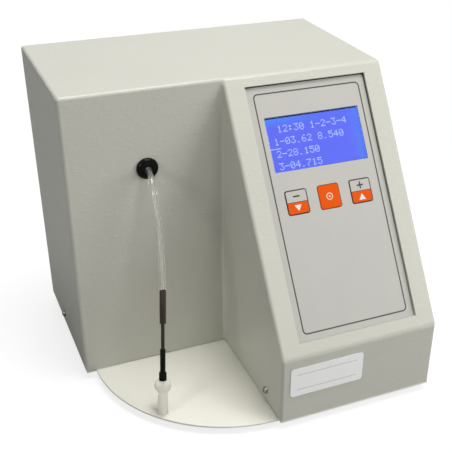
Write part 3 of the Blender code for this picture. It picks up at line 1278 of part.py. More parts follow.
def make_board(name, size, middle, layout):
    """A circuit board with pillar holes and soldered parts, whose places and footprints are shares of it."""
    holes = [circle(SCREW_HOLE, centre, 8) for centre in board_corners(size, middle)]
    board = place(name, outline_mesh([rectangle(*size, middle), *holes], BOARD_UNDER, BOARD_TOP), "board_green")
    solids = []
    low = BOARD_TOP - BOARD_THICKNESS / 4
    for (x_share, y_share), (width_share, depth_share), height, round_part in layout:
        x = middle[0] + x_share * size[0] / 2
        y = middle[1] + y_share * size[1] / 2
        high = BOARD_TOP + height
        if round_part:
            solid = rod_mesh(width_share * size[0] / 2, low, high, 16)
        else:
            solid = centred_box((width_share * size[0], depth_share * size[1], high - low),
                                (0, 0, (low + high) / 2))
        solids.append((solid, at(x, y, 0)))
    combine(board, cutter(name + "_parts", joined(solids)), "UNION")


def on_board(size, middle, shares, height):
    """A point over a board, just above a part of the given height."""
    return Vector((middle[0] + shares[0] * size[0] / 2, middle[1] + shares[1] * size[1] / 2,
                   BOARD_TOP + height + FIT))


def make_boards():
    """The main board and the supply board, each on four pillars of the base tray."""
    main_part_shares = (
        (RIBBON_SOCKET_SHARES, (0.32, 0.08), SOCKET_HEIGHT, False),
        (POWER_PLUG_SHARES, (0.08, 0.12), PLUG_HEIGHT, False),
        ((-0.1, 0.15), (0.20, 0.20), CHIP_HEIGHT, False),
        ((0.45, 0.2), (0.10, 0.30), CHIP_HEIGHT, False),
        ((-0.55, -0.55), (0.22, 0.10), SOCKET_HEIGHT, False),
        ((0.55, -0.5), (0.09, 0.09), CAN_HEIGHT, True),
        ((0.75, -0.15), (0.09, 0.09), CAN_HEIGHT, True),
    )
    supply_part_shares = (
        (MAINS_PLUG_SHARES, (0.10, 0.40), PLUG_HEIGHT, False),
        (OUTPUT_PLUG_SHARES, (0.10, 0.12), PLUG_HEIGHT, False),
        (MOTOR_PLUG_SHARES, (0.10, 0.12), PLUG_HEIGHT, False),
        ((0.25, 0.05), (0.36, 0.50), COIL_HEIGHT, False),
        ((-0.35, 0.3), (0.18, 0.18), CAPACITOR_HEIGHT, True),
        ((-0.35, -0.35), (0.14, 0.14), CAPACITOR_HEIGHT, True),
        ((-0.75, 0.05), (0.05, 0.55), CAPACITOR_HEIGHT, False),
    )
    make_board("main_board", MAIN_BOARD, main_board_middle(), main_part_shares)
    make_board("supply_board", SUPPLY_BOARD, supply_middle(), supply_part_shares)


def make_ribbon():
    """The flat cable from the display board down to the main board."""
    axes = Matrix.Translation((CONSOLE_MIDDLE, FRONT_Y, KNEE_Z)) @ Matrix.Rotation(PANEL_SLOPE, 4, "X")
    behind = DISPLAY_BOARD_FRONT - BOARD_THICKNESS - FIT
    top = axes @ Vector((0, WINDOW_MIDDLE, behind))
    leave = axes @ Vector((0, WINDOW_MIDDLE, behind - RIBBON_LOOP))
    end = on_board(MAIN_BOARD, main_board_middle(), RIBBON_SOCKET_SHARES, SOCKET_HEIGHT)
    above = end + Vector((0, 0, 2 * RIBBON_LOOP))
    route = smooth_route([top, leave, above, end], RIBBON_LOOP / 2)
    mesh = bpy.data.meshes.new("ribbon")
    half = RIBBON_WIDTH / 2
    points = [(point.x + side * half, point.y, point.z) for point in route for side in (-1, 1)]
    faces = [(2 * i, 2 * i + 1, 2 * i + 3, 2 * i + 2) for i in range(len(route) - 1)]
    mesh.from_pydata(points, [], faces)
    ribbon = place("display_ribbon", mesh, "wire_grey")
    sheet = ribbon.modifiers.new("sheet", "SOLIDIFY")
    sheet.thickness = RIBBON_THICKNESS
    sheet.offset = 0


def make_lead(name, route):
    """One sleeved lead along a route."""
    place(name, tube_mesh(smooth_route(route, 4 * LEAD_RADIUS), LEAD_RADIUS, 1), "wire_grey", smooth=True)


def make_leads():
    """The leads from the inlet to the switch and the supply, and from the supply to the motor and main board."""
    inlet_back = REAR_FACE - INLET_BODY[2]
    switch_back = REAR_FACE - SWITCH_BODY[2]
    loop = 5 * LEAD_RADIUS
    up, front = Vector((0, 0, loop)), Vector((0, -loop, 0))
    supply = (SUPPLY_BOARD, supply_middle())
    mains = on_board(*supply, MAINS_PLUG_SHARES, PLUG_HEIGHT)
    start = Vector((INLET_X + PIN_PITCH, inlet_back, FITTINGS_Z))
    make_lead("mains_lead", [start, start + front, mains + up, mains])
    start = Vector((SWITCH_X, switch_back, FITTINGS_Z))
    end = Vector((INLET_X - PIN_PITCH, inlet_back, FITTINGS_Z))
    make_lead("switch_lead", [start, start + front, end + front, end])
    output = on_board(*supply, OUTPUT_PLUG_SHARES, PLUG_HEIGHT)
    power = on_board(MAIN_BOARD, main_board_middle(), POWER_PLUG_SHARES, PLUG_HEIGHT)
    make_lead("board_lead", [output, output + up, power + up, power])
    motor = on_board(*supply, MOTOR_PLUG_SHARES, PLUG_HEIGHT)
    side = Vector((-MOTOR_RADIUS / 2, 0, 0))
    motor_end = PUMP_AXIS + side + Vector((0, BRACKET_SHEET + 2 * FIT + MOTOR_LENGTH, 0))
    away = motor_end - front
    down = Vector((0, 0, -MOTOR_RADIUS))
    make_lead("motor_lead", [motor_end, away, away + side + 3 / 2 * down,
                             away + 2 * side + 3 * down, motor + 2 * side + 2 * up, motor + up, motor])


def main():
    """Makes every piece of the analyzer."""
    panel_axes = bpy.data.objects.new("panel_axes", None)
    PARTS.objects.link(panel_axes)
    panel_axes.location = (CONSOLE_MIDDLE, FRONT_Y, KNEE_Z)
    panel_axes.rotation_euler = (PANEL_SLOPE, 0, 0)
    screw_holes = make_screw_holes()
    make_cover(panel_axes, screw_holes)
    make_base_tray(screw_holes)
    make_case_screws()
    make_feet()
    make_label()
    make_rear_panel()
    make_power_inlet()
    make_power_switch()
    make_serial_port()
    make_panel(panel_axes)
    make_display(panel_axes)
    make_keys(panel_axes)
    make_grommet()
    make_hose()
    make_probe()
    make_measuring_cell()
    make_pump_frame()
    make_pump_rotor()
    make_pump_motor()
    make_inner_hoses()
    make_boards()
    make_ribbon()
    make_leads()


main()
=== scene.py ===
"""A bench-top milk analyzer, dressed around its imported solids. Metres, +Z up, its front towards -Y."""

import logging
import math
from dataclasses import dataclass
from enum import Enum
from functools import reduce

import bmesh
import bpy
import numpy as np
from mathutils import Matrix, Vector


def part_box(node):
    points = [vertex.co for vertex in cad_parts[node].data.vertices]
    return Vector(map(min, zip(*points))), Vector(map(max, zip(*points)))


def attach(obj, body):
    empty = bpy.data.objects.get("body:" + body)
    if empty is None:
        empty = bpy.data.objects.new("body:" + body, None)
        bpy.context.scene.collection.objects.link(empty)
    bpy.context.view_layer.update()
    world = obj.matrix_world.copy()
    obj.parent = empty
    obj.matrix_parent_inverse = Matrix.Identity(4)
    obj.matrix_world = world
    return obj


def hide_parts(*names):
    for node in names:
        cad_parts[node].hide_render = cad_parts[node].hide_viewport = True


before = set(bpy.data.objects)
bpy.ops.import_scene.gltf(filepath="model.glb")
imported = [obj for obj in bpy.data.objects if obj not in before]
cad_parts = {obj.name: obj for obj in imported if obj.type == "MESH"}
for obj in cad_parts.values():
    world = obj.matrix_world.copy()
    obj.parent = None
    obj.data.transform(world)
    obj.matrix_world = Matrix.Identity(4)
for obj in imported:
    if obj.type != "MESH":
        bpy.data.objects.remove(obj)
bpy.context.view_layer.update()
LOG = logging.getLogger("milk_analyzer")

Piece, Material, Socket = bpy.types.Object, bpy.types.Material, bpy.types.NodeSocket
Pair = tuple[float, float]
Point = Colour = tuple[float, float, float]
Input = float | tuple | Socket


def paint(red: int, green: int, blue: int) -> Colour:
    """A screen colour of 0 to 255 as the linear colour that shaders use.

    Args:
        red: its red.
        green: its green.
        blue: its blue.

    Returns:
        The linear colour.
    """
    screen = np.array((red, green, blue)) / 255.0
    linear = np.where(screen <= 0.04045, screen / 12.92, ((screen + 0.055) / 1.055) ** 2.4)
    return tuple(float(part) for part in linear)


def toned(colour: Colour, share: float) -> Colour:
    """A colour times a share, held under white."""
    return tuple(min(1.0, part * share) for part in colour)


# Places that several assemblies share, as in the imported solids

CASE_LEFT, CASE_RIGHT = -0.120, 0.120
CONSOLE_LEFT = -0.005
CONSOLE_MIDDLE = (CONSOLE_LEFT + CASE_RIGHT) / 2
WALL_Y, FRONT_Y, REAR_Y = -0.0104, -0.1214, 0.1166
COVER_FOOT, KNEE_Z, CASE_TOP = 0.008, 0.061, 0.228
SLOPE_ANGLE = math.atan2(CASE_TOP - KNEE_Z, WALL_Y - FRONT_Y)
SLOPE_LENGTH = math.hypot(CASE_TOP - KNEE_Z, WALL_Y - FRONT_Y)
GROMMET = np.array((-0.062, WALL_Y, 0.170))
PROBE_TIP = np.array((-0.0806, -0.0806, 0.009))
PROBE_AXIS = np.array((0.1304, 0.2668, 0.9549)) / np.linalg.norm((0.1304, 0.2668, 0.9549))
PANEL_ORIGIN = np.array((CONSOLE_MIDDLE, FRONT_Y, KNEE_Z))
PANEL_AXES = np.array(((1, 0, 0), (0, math.cos(SLOPE_ANGLE), math.sin(SLOPE_ANGLE)),
                       (0, -math.sin(SLOPE_ANGLE), math.cos(SLOPE_ANGLE))))

# Faces that meet under these angles, in degrees, and points nearer than this, in metres, count as one

SMOOTH_ANGLE, FLAT_ANGLE = 35.0, 0.4
TOUCH = 1e-6


def on_panel(points: np.ndarray) -> np.ndarray:
    """Rows of (across from the console's middle, up from the knee, out of the slope) in the model's frame."""
    return PANEL_ORIGIN + np.asarray(points) @ PANEL_AXES


# Surfaces worked out as whole arrays

def linked(name: str, data: bpy.types.ID) -> Piece:
    """A new object of that name and data, linked to the scene.

    Args:
        name: the object's name.
        data: its mesh, lamp or camera.

    Returns:
        The object.
    """
    thing = bpy.data.objects.new(name, data)
    bpy.context.scene.collection.objects.link(thing)
    return thing


def shaded(mesh: bpy.types.Mesh, smooth_angle: float = SMOOTH_ANGLE) -> None:
    """Shades faces that meet at less than an angle in degrees as one surface."""
    mesh.shade_smooth()
    mesh.set_sharp_from_angle(angle=math.radians(smooth_angle))


def new_piece(name: str, points: np.ndarray, faces: list, smooth_angle: float = SMOOTH_ANGLE) -> Piece:
    """A mesh object with its place in its mesh.

    Args:
        name: the piece's name.
        points: rows of x, y, z in metres.
        faces: lists of point numbers, counter-clockwise from outside.
        smooth_angle: as in shaded.

    Returns:
        The new object.
    """
    mesh = bpy.data.meshes.new(name)
    mesh.from_pydata(points.tolist(), [], faces)
    mesh.update()
    shaded(mesh, smooth_angle)
    return linked(name, mesh)


def circle(steps: int) -> np.ndarray:
    """Rows of the cosine and sine of angles evenly round a circle."""
    turn = np.arange(steps) * 2 * math.pi / steps
    return np.stack((np.cos(turn), np.sin(turn)), axis=1)


def grid_faces(rows: int, columns: int, closed: bool) -> np.ndarray:
    """The four-cornered faces of a grid of points, numbered row by row, each row a ring.

    Args:
        rows: how many rows of points there are.
        columns: how many points each row has.
        closed: whether the last row joins the first one.

    Returns:
        An array of four point numbers for each face.
    """
    row = np.arange(rows if closed else rows - 1)[:, None]
    column = np.arange(columns)[None, :]
    below, right = (row + 1) % rows, (column + 1) % columns
    corners = ((row, column), (row, right), (below, right), (below, column))
    return np.stack([(line * columns + place).ravel() for line, place in corners], axis=1)


def turned(name: str, profile: np.ndarray, foot: np.ndarray, axis: np.ndarray, steps: int) -> Piece:
    """A profile carried round an axis: each point is foot + height * axis + radius * (cos t, sin t).

    Args:
        name: the piece's name.
        profile: rows of (radius, height), going down the outside and up the bore.
        foot: the point of the axis where the height is zero.
        axis: the direction of the axis, one metre long.
        steps: how many points go round.

    Returns:
        The turned piece, closed and facing outwards.
    """
    across = np.cross((1.0, 0, 0), axis)
    across /= np.linalg.norm(across)
    spokes = circle(steps) @ np.stack((across, np.cross(axis, across)))
    points = foot + profile[:, 1, None, None] * axis + profile[:, 0, None, None] * spokes
    return new_piece(name, points.reshape(-1, 3), grid_faces(len(profile), steps, True)[:, ::-1].tolist())


def finer(path: np.ndarray, count: int) -> np.ndarray:
    """A route's points drawn as one smooth curve: a natural cubic through them, by distance along.

    The bends at the points are solved so that the slopes on both sides of each point are the same.

    Args:
        path: rows of x, y, z.
        count: how many points the smooth curve gets.

    Returns:
        The new rows, evenly spaced.
    """
    reach = np.concatenate(([0], np.cumsum(np.linalg.norm(np.diff(path, axis=0), axis=1))))
    step, size = np.diff(reach), len(path)
    matrix, right = np.eye(size), np.zeros((size, 3))
    inner = np.arange(1, size - 1)
    matrix[inner, inner - 1] = step[:-1]
    matrix[inner, inner] = 2 * (step[:-1] + step[1:])
    matrix[inner, inner + 1] = step[1:]
    right[1:-1] = 6 * np.diff(np.diff(path, axis=0) / step[:, None], axis=0)
    bend = np.linalg.solve(matrix, right)
    where = np.linspace(0, reach[-1], count)
    part = np.clip(np.searchsorted(reach, where, side="right") - 1, 0, size - 2)
    gap, after = step[part][:, None], (where - reach[part])[:, None]
    ends = ((part, gap - after), (part + 1, after))
    return sum(bend[end] * near ** 3 / (6 * gap) + (path[end] / gap - bend[end] * gap / 6) * near
               for end, near in ends)


def swept(name: str, path: np.ndarray, radius: float, bore: float, steps: int = 32) -> Piece:
    """A tube with a bore: a circle carried along a path outside and back inside, closed at both ends.

    Args:
        name: the piece's name.
        path: the centre line's points, close together.
        radius: the outer radius.
        bore: the inner radius.
        steps: how many points go round.

    Returns:
        The tube.
    """
    ahead = np.gradient(path, axis=0)
    ahead /= np.linalg.norm(ahead, axis=1, keepdims=True)
    side = np.cross(ahead, (1.0, 0, 0))
    side /= np.linalg.norm(side, axis=1, keepdims=True)
    spokes = circle(steps) @ np.stack((side, np.cross(ahead, side)), axis=1)
    rings = np.concatenate((path[:, None] + radius * spokes, (path[:, None] + bore * spokes)[::-1]))
    return new_piece(name, rings.reshape(-1, 3), grid_faces(2 * len(path), steps, True).tolist())


def rounded_edges(piece: Piece, radius: float, segments: int = 2, angle: float = 40.0) -> None:
    """Rounds a piece's edges that are sharper than an angle in degrees.

    Args:
        piece: the piece.
        radius: the radius in metres.
        segments: how many faces go across an edge.
        angle: the angle in degrees.
    """
    bevel = piece.modifiers.new("rounded_edges", "BEVEL")
    bevel.width, bevel.segments = radius, segments
    bevel.limit_method = "ANGLE"
    bevel.angle_limit = math.radians(angle)
    bevel.harden_normals = True


def settled(piece: Piece) -> None:
    """Turns a piece's modifiers into its mesh, and keeps its flats flat right up to their rounded edges.

    Args:
        piece: the piece.
    """
    bpy.context.view_layer.update()
    shape = piece.evaluated_get(bpy.context.evaluated_depsgraph_get())
    mesh = bpy.data.meshes.new_from_object(shape)
    mesh.name = piece.name
    piece.modifiers.clear()
    piece.data = mesh
    shaded(mesh)
    flats = piece.modifiers.new("flat_normals", "WEIGHTED_NORMAL")
    flats.keep_sharp = True
    flats.weight = 100


def finished(piece: Piece, finish: Material, node: str | None = None,
             body: str = "case") -> Piece:
    """Dresses a new piece, lets it ride on its body and logs it.

    Args:
        piece: the new piece.
        finish: its one material.
        node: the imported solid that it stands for, if any.
        body: the body that carries it.

    Returns:
        The piece.
    """
    piece.data.materials.clear()
    piece.data.materials.append(finish)
    if node:
        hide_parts(node)
    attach(piece, body)
    LOG.info("%s rides on %s, %d faces", piece.name, body, len(piece.data.polygons))
    return piece


def carried_over(node: str, finish: Material, slot: str, round_edge: float = 0.0,
                 body: str = "case") -> Piece:
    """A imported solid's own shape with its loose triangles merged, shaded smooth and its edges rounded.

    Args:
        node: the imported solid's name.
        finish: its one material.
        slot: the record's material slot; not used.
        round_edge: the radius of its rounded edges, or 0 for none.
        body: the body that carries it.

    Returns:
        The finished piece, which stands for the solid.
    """
    work = bmesh.new()
    work.from_mesh(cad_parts[node].data)
    bmesh.ops.remove_doubles(work, verts=work.verts, dist=TOUCH)
    bmesh.ops.dissolve_limit(work, angle_limit=math.radians(FLAT_ANGLE), verts=work.verts, edges=work.edges)
    mesh = bpy.data.meshes.new("dressed_" + node)
    work.to_mesh(mesh)
    work.free()
    shaded(mesh)
    piece = linked("dressed_" + node, mesh)
    if round_edge:
        rounded_edges(piece, round_edge)
    return finished(piece, finish, node, body)


# Finishes

class NodeSheet:
    """The nodes of one material or world, with short calls that add and link them."""

    def __init__(self, owner: Material | bpy.types.World) -> None:
        """Clears away the nodes that its owner came with.

        Args:
            owner: the material or world.
        """
        owner.use_nodes = True
        self.owner, self.tree = owner, owner.node_tree
        self.tree.nodes.clear()

    def add(self, kind: str, inputs: dict[str | int, Input] | None = None,
            **settings: str | bool) -> bpy.types.NodeOutputs:
        """Adds a node.

        Args:
            kind: the node's type, without its ShaderNode start.
            inputs: what goes into its sockets, by name or number.
            settings: the node's own properties.

        Returns:
            The node's outputs.
        """
        node = self.tree.nodes.new("ShaderNode" + kind)
        for key, value in settings.items():
            setattr(node, key, value)
        for key, value in (inputs or {}).items():
            if isinstance(value, Socket):
                self.tree.links.new(value, node.inputs[key])
            elif isinstance(value, tuple) and node.inputs[key].type == "RGBA":
                node.inputs[key].default_value = (*value, 1)
            else:
                node.inputs[key].default_value = value
        return node.outputs

    def maths(self, operation: str, *values: Input, clamp: bool = False) -> Socket:
        """One sum of up to three values, by Blender's name for it."""
        return self.add("Math", dict(enumerate(values)), operation=operation, use_clamp=clamp)[0]

    def any_of(self, *masks: Input) -> Socket:
        """The largest of several values."""
        return reduce(lambda one, other: self.maths("MAXIMUM", one, other), masks)

    def place(self, scale: Point | None = None) -> Socket:
        """The object's own coordinates, in metres times a scale."""
        where = self.add("TexCoord")["Object"]
        return self.add("Mapping", {"Vector": where, "Scale": scale})[0] if scale else where

    def panel_place(self) -> Socket:
        """The object's coordinates turned and moved into the sloping panel's axes.

        Returns:
            The place across, up and out of the slope.
        """
        shift = tuple(float(part) for part in -(PANEL_AXES @ PANEL_ORIGIN))
        mapping = {"Vector": self.place(), "Location": shift, "Rotation": (-SLOPE_ANGLE, 0, 0)}
        return self.add("Mapping", mapping)[0]

    def split(self, vector: Socket) -> list[Socket]:
        """A vector's three numbers."""
        return list(self.add("SeparateXYZ", {0: vector}))

    def noise(self, size: float, detail: float = 2.0, rough: float = 0.5,
              scale: Point | None = None) -> Socket:
        """Cloudy noise whose patches are about a size in metres, as a value round 0.5."""
        inputs = {"Vector": self.place(scale), "Scale": 1 / size, "Detail": detail, "Roughness": rough}
        return self.add("TexNoise", inputs)["Fac"]

    def between(self, value: Input, low: float, high: float, start: float = 0.0, end: float = 1.0,
                **settings: str) -> Socket:
        """A value's run from start to end, as a run from low to high."""
        inputs = {"Value": value, "From Min": start, "From Max": end, "To Min": low, "To Max": high}
        return self.add("MapRange", inputs, **settings)[0]

    def mix(self, share: Input, first: Input, second: Input) -> Socket:
        """A colour between two colours, by a share from 0 to 1."""
        return self.add("Mix", {0: share, 6: first, 7: second}, data_type="RGBA")[2]

    def rounded_box(self, across: Input, up: Input, middle: Pair, size: Pair, corner: float) -> Socket:
        """The distance outside a rounded rectangle's edge, negative inside it.

        With q the distance from the middle less half the size plus the corner, on each axis, it is the
        length of q where positive, plus the larger of q where both are negative, less the corner.

        Args:
            across: the place across.
            up: the place up.
            middle: the rectangle's middle.
            size: its width and height.
            corner: its corners' radius.

        Returns:
            The distance in metres.
        """
        reach = [self.maths("SUBTRACT", self.maths("ABSOLUTE", self.maths("SUBTRACT", value, centre)),
                            side / 2 - corner)
                 for value, centre, side in zip((across, up), middle, size)]
        inside = self.maths("MINIMUM", self.any_of(*reach), 0.0)
        positive = [self.maths("POWER", self.any_of(part, 0.0), 2.0) for part in reach]
        outside = self.maths("SQRT", self.maths("ADD", *positive))
        return self.maths("SUBTRACT", self.maths("ADD", outside, inside), corner)

    def inside(self, distance: Input, edge: float = 0.0, blur: float = 0.00006) -> Socket:
        """A mask of 1 where a distance is under an edge, and 0 beyond it."""
        return self.maths("MULTIPLY_ADD", self.maths("SUBTRACT", distance, edge), -1 / blur, 0.5, clamp=True)

    def line(self, distance: Input, half_width: float) -> Socket:
        """A mask of the places whose distance, either way, is under half a line's width."""
        return self.inside(self.maths("ABSOLUTE", distance), half_width)

    def finish(self, colour: Input, gloss: Input, skin: tuple[Socket, float] | None = None,
               **inputs: Input) -> None:
        """Ends the material with a Principled shader.

        Args:
            colour: its base colour.
            gloss: its roughness, or (a value of 0 to 1, the roughness at 0, the roughness at 1).
            skin: the height of its relief, from 0 to 1, and the relief's depth in metres.
            inputs: its other sockets' values, with underscores for spaces.
        """
        named = {"Base Color": colour,
                 "Roughness": self.between(*gloss) if isinstance(gloss, tuple) else gloss}
        if skin:
            named["Normal"] = self.add("Bump", {"Height": skin[0], "Distance": skin[1], "Strength": 1.0})[0]
        named |= {key.replace("_", " "): value for key, value in inputs.items()}
        self.add("OutputMaterial", {"Surface": self.add("BsdfPrincipled", named)[0]})


@dataclass(frozen=True)
class Finish:
    """A named finish, of which each kind lays out its own nodes."""

    name: str

    def shade(self, sheet: NodeSheet) -> None:
        """Lays out the material's nodes."""
        raise NotImplementedError

    def make(self) -> Material:
        """The finish as a material.

        Returns:
            The material.
        """
        sheet = NodeSheet(bpy.data.materials.new(self.name))
        self.shade(sheet)
        return sheet.owner


@dataclass(frozen=True)
class PowderCoat(Finish):
    """Paint baked on from powder: one colour over a smooth skin with short, sparse wrinkles in it."""

    colour: Colour
    wrinkle: float = 0.0030
    depth: float = 0.00008
    roughness: float = 0.30
    stretch: Point = (0.6, 0.6, 1.5)
    crests: Pair = (0.5, 0.74)
    crest_tone: Pair = (-0.004, 0.010)
    grain_share: float = 0.12
    swell_share: float = 0.5
    patches: float = 0.06
    gloss_drift: float = 0.04

    def shade(self, sheet: NodeSheet) -> None:
        """Lays out swells with wrinkles on their tops, a fine grain, and a faint cloud of shade and gloss.

        Args:
            sheet: the material's nodes.
        """
        swell = sheet.noise(self.wrinkle, 2.5, scale=self.stretch)
        wrinkles = sheet.between(swell, 0.0, 1.0, *self.crests, interpolation_type="SMOOTHSTEP")
        height = sheet.maths("MULTIPLY_ADD", sheet.noise(self.wrinkle / 6), self.grain_share,
                             sheet.maths("MULTIPLY_ADD", swell, self.swell_share, wrinkles))
        cloud = sheet.noise(self.patches, 3.0)
        tone = sheet.maths("ADD", sheet.between(cloud, 0.98, 1.02),
                           sheet.between(wrinkles, *self.crest_tone))
        colour = sheet.add("VectorMath", {0: self.colour, 1: tone}, operation="MULTIPLY")[0]
        sheet.finish(colour, (cloud, self.roughness - self.gloss_drift, self.roughness + self.gloss_drift),
                     (height, self.depth), Specular_IOR_Level=0.32)


@dataclass(frozen=True)
class Moulding(Finish):
    """A moulded plastic: an even colour with the mould's fine grain and slight gloss changes."""

    colour: Colour
    roughness: float = 0.4
    grain: float = 0.0003
    depth: float = 0.00003
    see_through: float = 0.0
    bleed: float = 0.0
    shine: float = 0.5
    patches: float = 0.012
    tones: Pair = (0.9, 1.08)
    gloss_drift: float = 0.06

    def shade(self, sheet: NodeSheet) -> None:
        """Lays out a cloud of colour and gloss over the grain."""
        cloud = sheet.noise(self.patches, 3.0)
        sheet.finish(sheet.mix(cloud, *(toned(self.colour, tone) for tone in self.tones)),
                     (cloud, self.roughness - self.gloss_drift, self.roughness + self.gloss_drift),
                     (sheet.noise(self.grain), self.depth), Transmission_Weight=self.see_through,
                     Subsurface_Weight=self.bleed, Subsurface_Radius=(1.0, 1.0, 0.95),
                     Subsurface_Scale=0.002, Specular_IOR_Level=self.shine)


@dataclass(frozen=True)
class MarkedPlastic(Finish):
    """Black moulded plastic with bars and rings on it in another colour, as print or as bare metal."""

    bars: tuple[Pair, ...]
    bar_size: Pair
    rings: tuple[Pair, ...]
    ring_radius: float
    mark: Colour
    metal: bool
    bar_corner: float = 0.0001
    ring_line: float = 0.0003
    plastic: tuple[Colour, Colour] = ((0.009, 0.009, 0.010), (0.011, 0.011, 0.012))
    patches: float = 0.012
    gloss: Pair = (0.32, 0.44)
    skin: Pair = (0.0003, 0.00003)

    def shade(self, sheet: NodeSheet) -> None:
        """Lays out the marks over the plastic.

        Args:
            sheet: the material's nodes.
        """
        across, _, up = sheet.split(sheet.place())
        bars = (sheet.rounded_box(across, up, place, self.bar_size, self.bar_corner) for place in self.bars)
        ring = (2 * self.ring_radius, 2 * self.ring_radius)
        rings = (sheet.rounded_box(across, up, place, ring, self.ring_radius) for place in self.rings)
        marked = sheet.any_of(*(sheet.inside(bar) for bar in bars),
                              *(sheet.line(around, self.ring_line) for around in rings))
        cloud = sheet.noise(self.patches, 3.0)
        plastic = sheet.mix(cloud, *self.plastic)
        sheet.finish(sheet.mix(marked, plastic, self.mark), (cloud, *self.gloss),
                     (sheet.noise(self.skin[0]), self.skin[1]), Specular_IOR_Level=0.3,
                     Metallic=marked if self.metal else 0.0)


@dataclass(frozen=True)
class Rubber(Finish):
    """Black rubber: dull, dusty in patches, with a faint moulded skin."""

    colour: Colour = (0.003, 0.003, 0.003)
    dusty: Colour = (0.008, 0.008, 0.0075)
    patches: float = 0.004
    dust_run: Pair = (0.5, 1.0)
    gloss: Pair = (0.18, 0.38)
    skin: Pair = (0.0004, 0.00004)

    def shade(self, sheet: NodeSheet) -> None:
        """Lays out the dust over the skin."""
        dust = sheet.noise(self.patches, 4.0, 0.65)
        sheet.finish(sheet.mix(sheet.between(dust, 0.0, 1.0, *self.dust_run), self.colour, self.dusty),
                     (dust, *self.gloss), (sheet.noise(self.skin[0]), self.skin[1]),
                     Specular_IOR_Level=0.12)


@dataclass(frozen=True)
class PaintedShadeFoam(Finish):
    """Cut foam round the panel with painted shade: dark along its top, paler down its right, pale on the
    rest.
    """

    # Painted shade: the top tone is a painted shadow, the right tone a painted shade, the rest plain pale
    # foam
    top: Colour
    right: Colour
    rest: Colour
    right_shade_band: Pair = (0.040, 0.046)
    foot: Pair = (0.010, 0.014)
    top_shade_band: Pair = (0.90, 0.93)
    cell: float = 0.0005
    cell_depth: float = 0.0002
    cell_drift: float = 0.06
    gloss: Pair = (0.75, 0.95)

    def shade(self, sheet: NodeSheet) -> None:
        """Lays out the foam's cells and its three tones of painted shade, which run into each other.

        Args:
            sheet: the material's nodes.
        """
        across, up, _ = sheet.split(sheet.panel_place())
        cells = sheet.noise(self.cell, 3.0, 0.7)
        # Painted shade: dark towards the slope's top end and down the right side, faded out near the foot
        share = sheet.maths("ADD", sheet.between(up, 0.0, 1.0, 0.0, SLOPE_LENGTH),
                            sheet.between(cells, -self.cell_drift, self.cell_drift), clamp=True)
        upper = sheet.between(up, 0.0, 1.0, *(SLOPE_LENGTH * share for share in self.top_shade_band))
        dark = sheet.any_of(sheet.between(across, 0.0, 1.0, *self.right_shade_band), upper)
        painted_shade_share = sheet.maths("MULTIPLY", dark, sheet.between(up, 0.0, 1.0, *self.foot))
        sheet.finish(sheet.mix(painted_shade_share, self.rest, sheet.mix(share, self.right, self.top)),
                     (cells, *self.gloss), (cells, self.cell_depth), Specular_IOR_Level=0.2)


@dataclass(frozen=True)
class Metal(Finish):
    """Bare or plated metal with fine drawn lines along one axis and faint smudges."""

    colour: Colour
    roughness: float = 0.28
    lines: Point = (1, 1, 12)
    line: float = 0.0012
    line_depth: float = 0.00002
    line_tone: float = 0.82
    gloss_drift: float = 0.06
    smudge: float = 0.009
    smudge_gloss: Pair = (-0.04, 0.05)

    def shade(self, sheet: NodeSheet) -> None:
        """Lays out the drawn lines and the smudges.

        Args:
            sheet: the material's nodes.
        """
        lines = sheet.noise(self.line, 4.0, 0.7, self.lines)
        low, high = self.roughness - self.gloss_drift, self.roughness + self.gloss_drift
        roughness = sheet.maths("ADD", sheet.between(lines, low, high),
                                sheet.between(sheet.noise(self.smudge, 3.0), *self.smudge_gloss))
        sheet.finish(sheet.mix(lines, toned(self.colour, self.line_tone), self.colour), roughness,
                     (lines, self.line_depth), Metallic=1.0)


@dataclass(frozen=True)
class ClearPlastic(Finish):
    """Clear tube or sheet: light goes through it, with a faint haze and soft dents."""

    colour: Colour
    roughness: float
    haze: float = 1.0
    index: float = 1.45
    shine: float = 0.5
    dent: float = 0.003
    dent_depth: float = 0.00003
    dent_tone: float = 0.96
    gloss_share: Pair = (0.7, 1.3)

    def shade(self, sheet: NodeSheet) -> None:
        """Lays out the dents."""
        cloud = sheet.noise(self.dent)
        sheet.finish(sheet.mix(cloud, toned(self.colour, self.dent_tone), self.colour),
                     (cloud, *(self.roughness * share for share in self.gloss_share)),
                     (cloud, self.dent_depth), Transmission_Weight=self.haze, IOR=self.index,
                     Specular_IOR_Level=self.shine)


@dataclass(frozen=True)
class PanelFilm(Finish):
    """The front panel's printed film: light grey, with a dark rounded border and lines round the keys."""

    colour: Colour
    ink: Colour
    border_middle: Pair
    border_size: Pair
    border_corner: float
    border_line: float
    key_places: tuple[Pair, ...]
    key_size: Pair
    key_corner: float
    key_line: float
    patches: float = 0.02
    tones: Pair = (0.965, 1.03)
    gloss: Pair = (0.34, 0.46)
    skin: Pair = (0.0005, 0.00003)

    def shade(self, sheet: NodeSheet) -> None:
        """Lays out the printed lines over the film.

        Args:
            sheet: the material's nodes.
        """
        across, up, _ = sheet.split(sheet.panel_place())
        edge = sheet.rounded_box(across, up, self.border_middle, self.border_size, self.border_corner)
        keys = (sheet.rounded_box(across, up, place, self.key_size, self.key_corner)
                for place in self.key_places)
        printed = sheet.any_of(sheet.line(edge, self.border_line / 2),
                               *(sheet.inside(around, self.key_line) for around in keys))
        cloud = sheet.noise(self.patches, 3.0)
        film = sheet.mix(cloud, *(toned(self.colour, tone) for tone in self.tones))
        sheet.finish(sheet.mix(printed, film, self.ink), (cloud, *self.gloss),
                     (sheet.noise(self.skin[0]), self.skin[1]), Specular_IOR_Level=0.45)


class KeySign(Enum):
    """What is printed on a key: its upper sign and which way its arrow points."""

    LESS = "less"
    CHOOSE = "choose"
    MORE = "more"


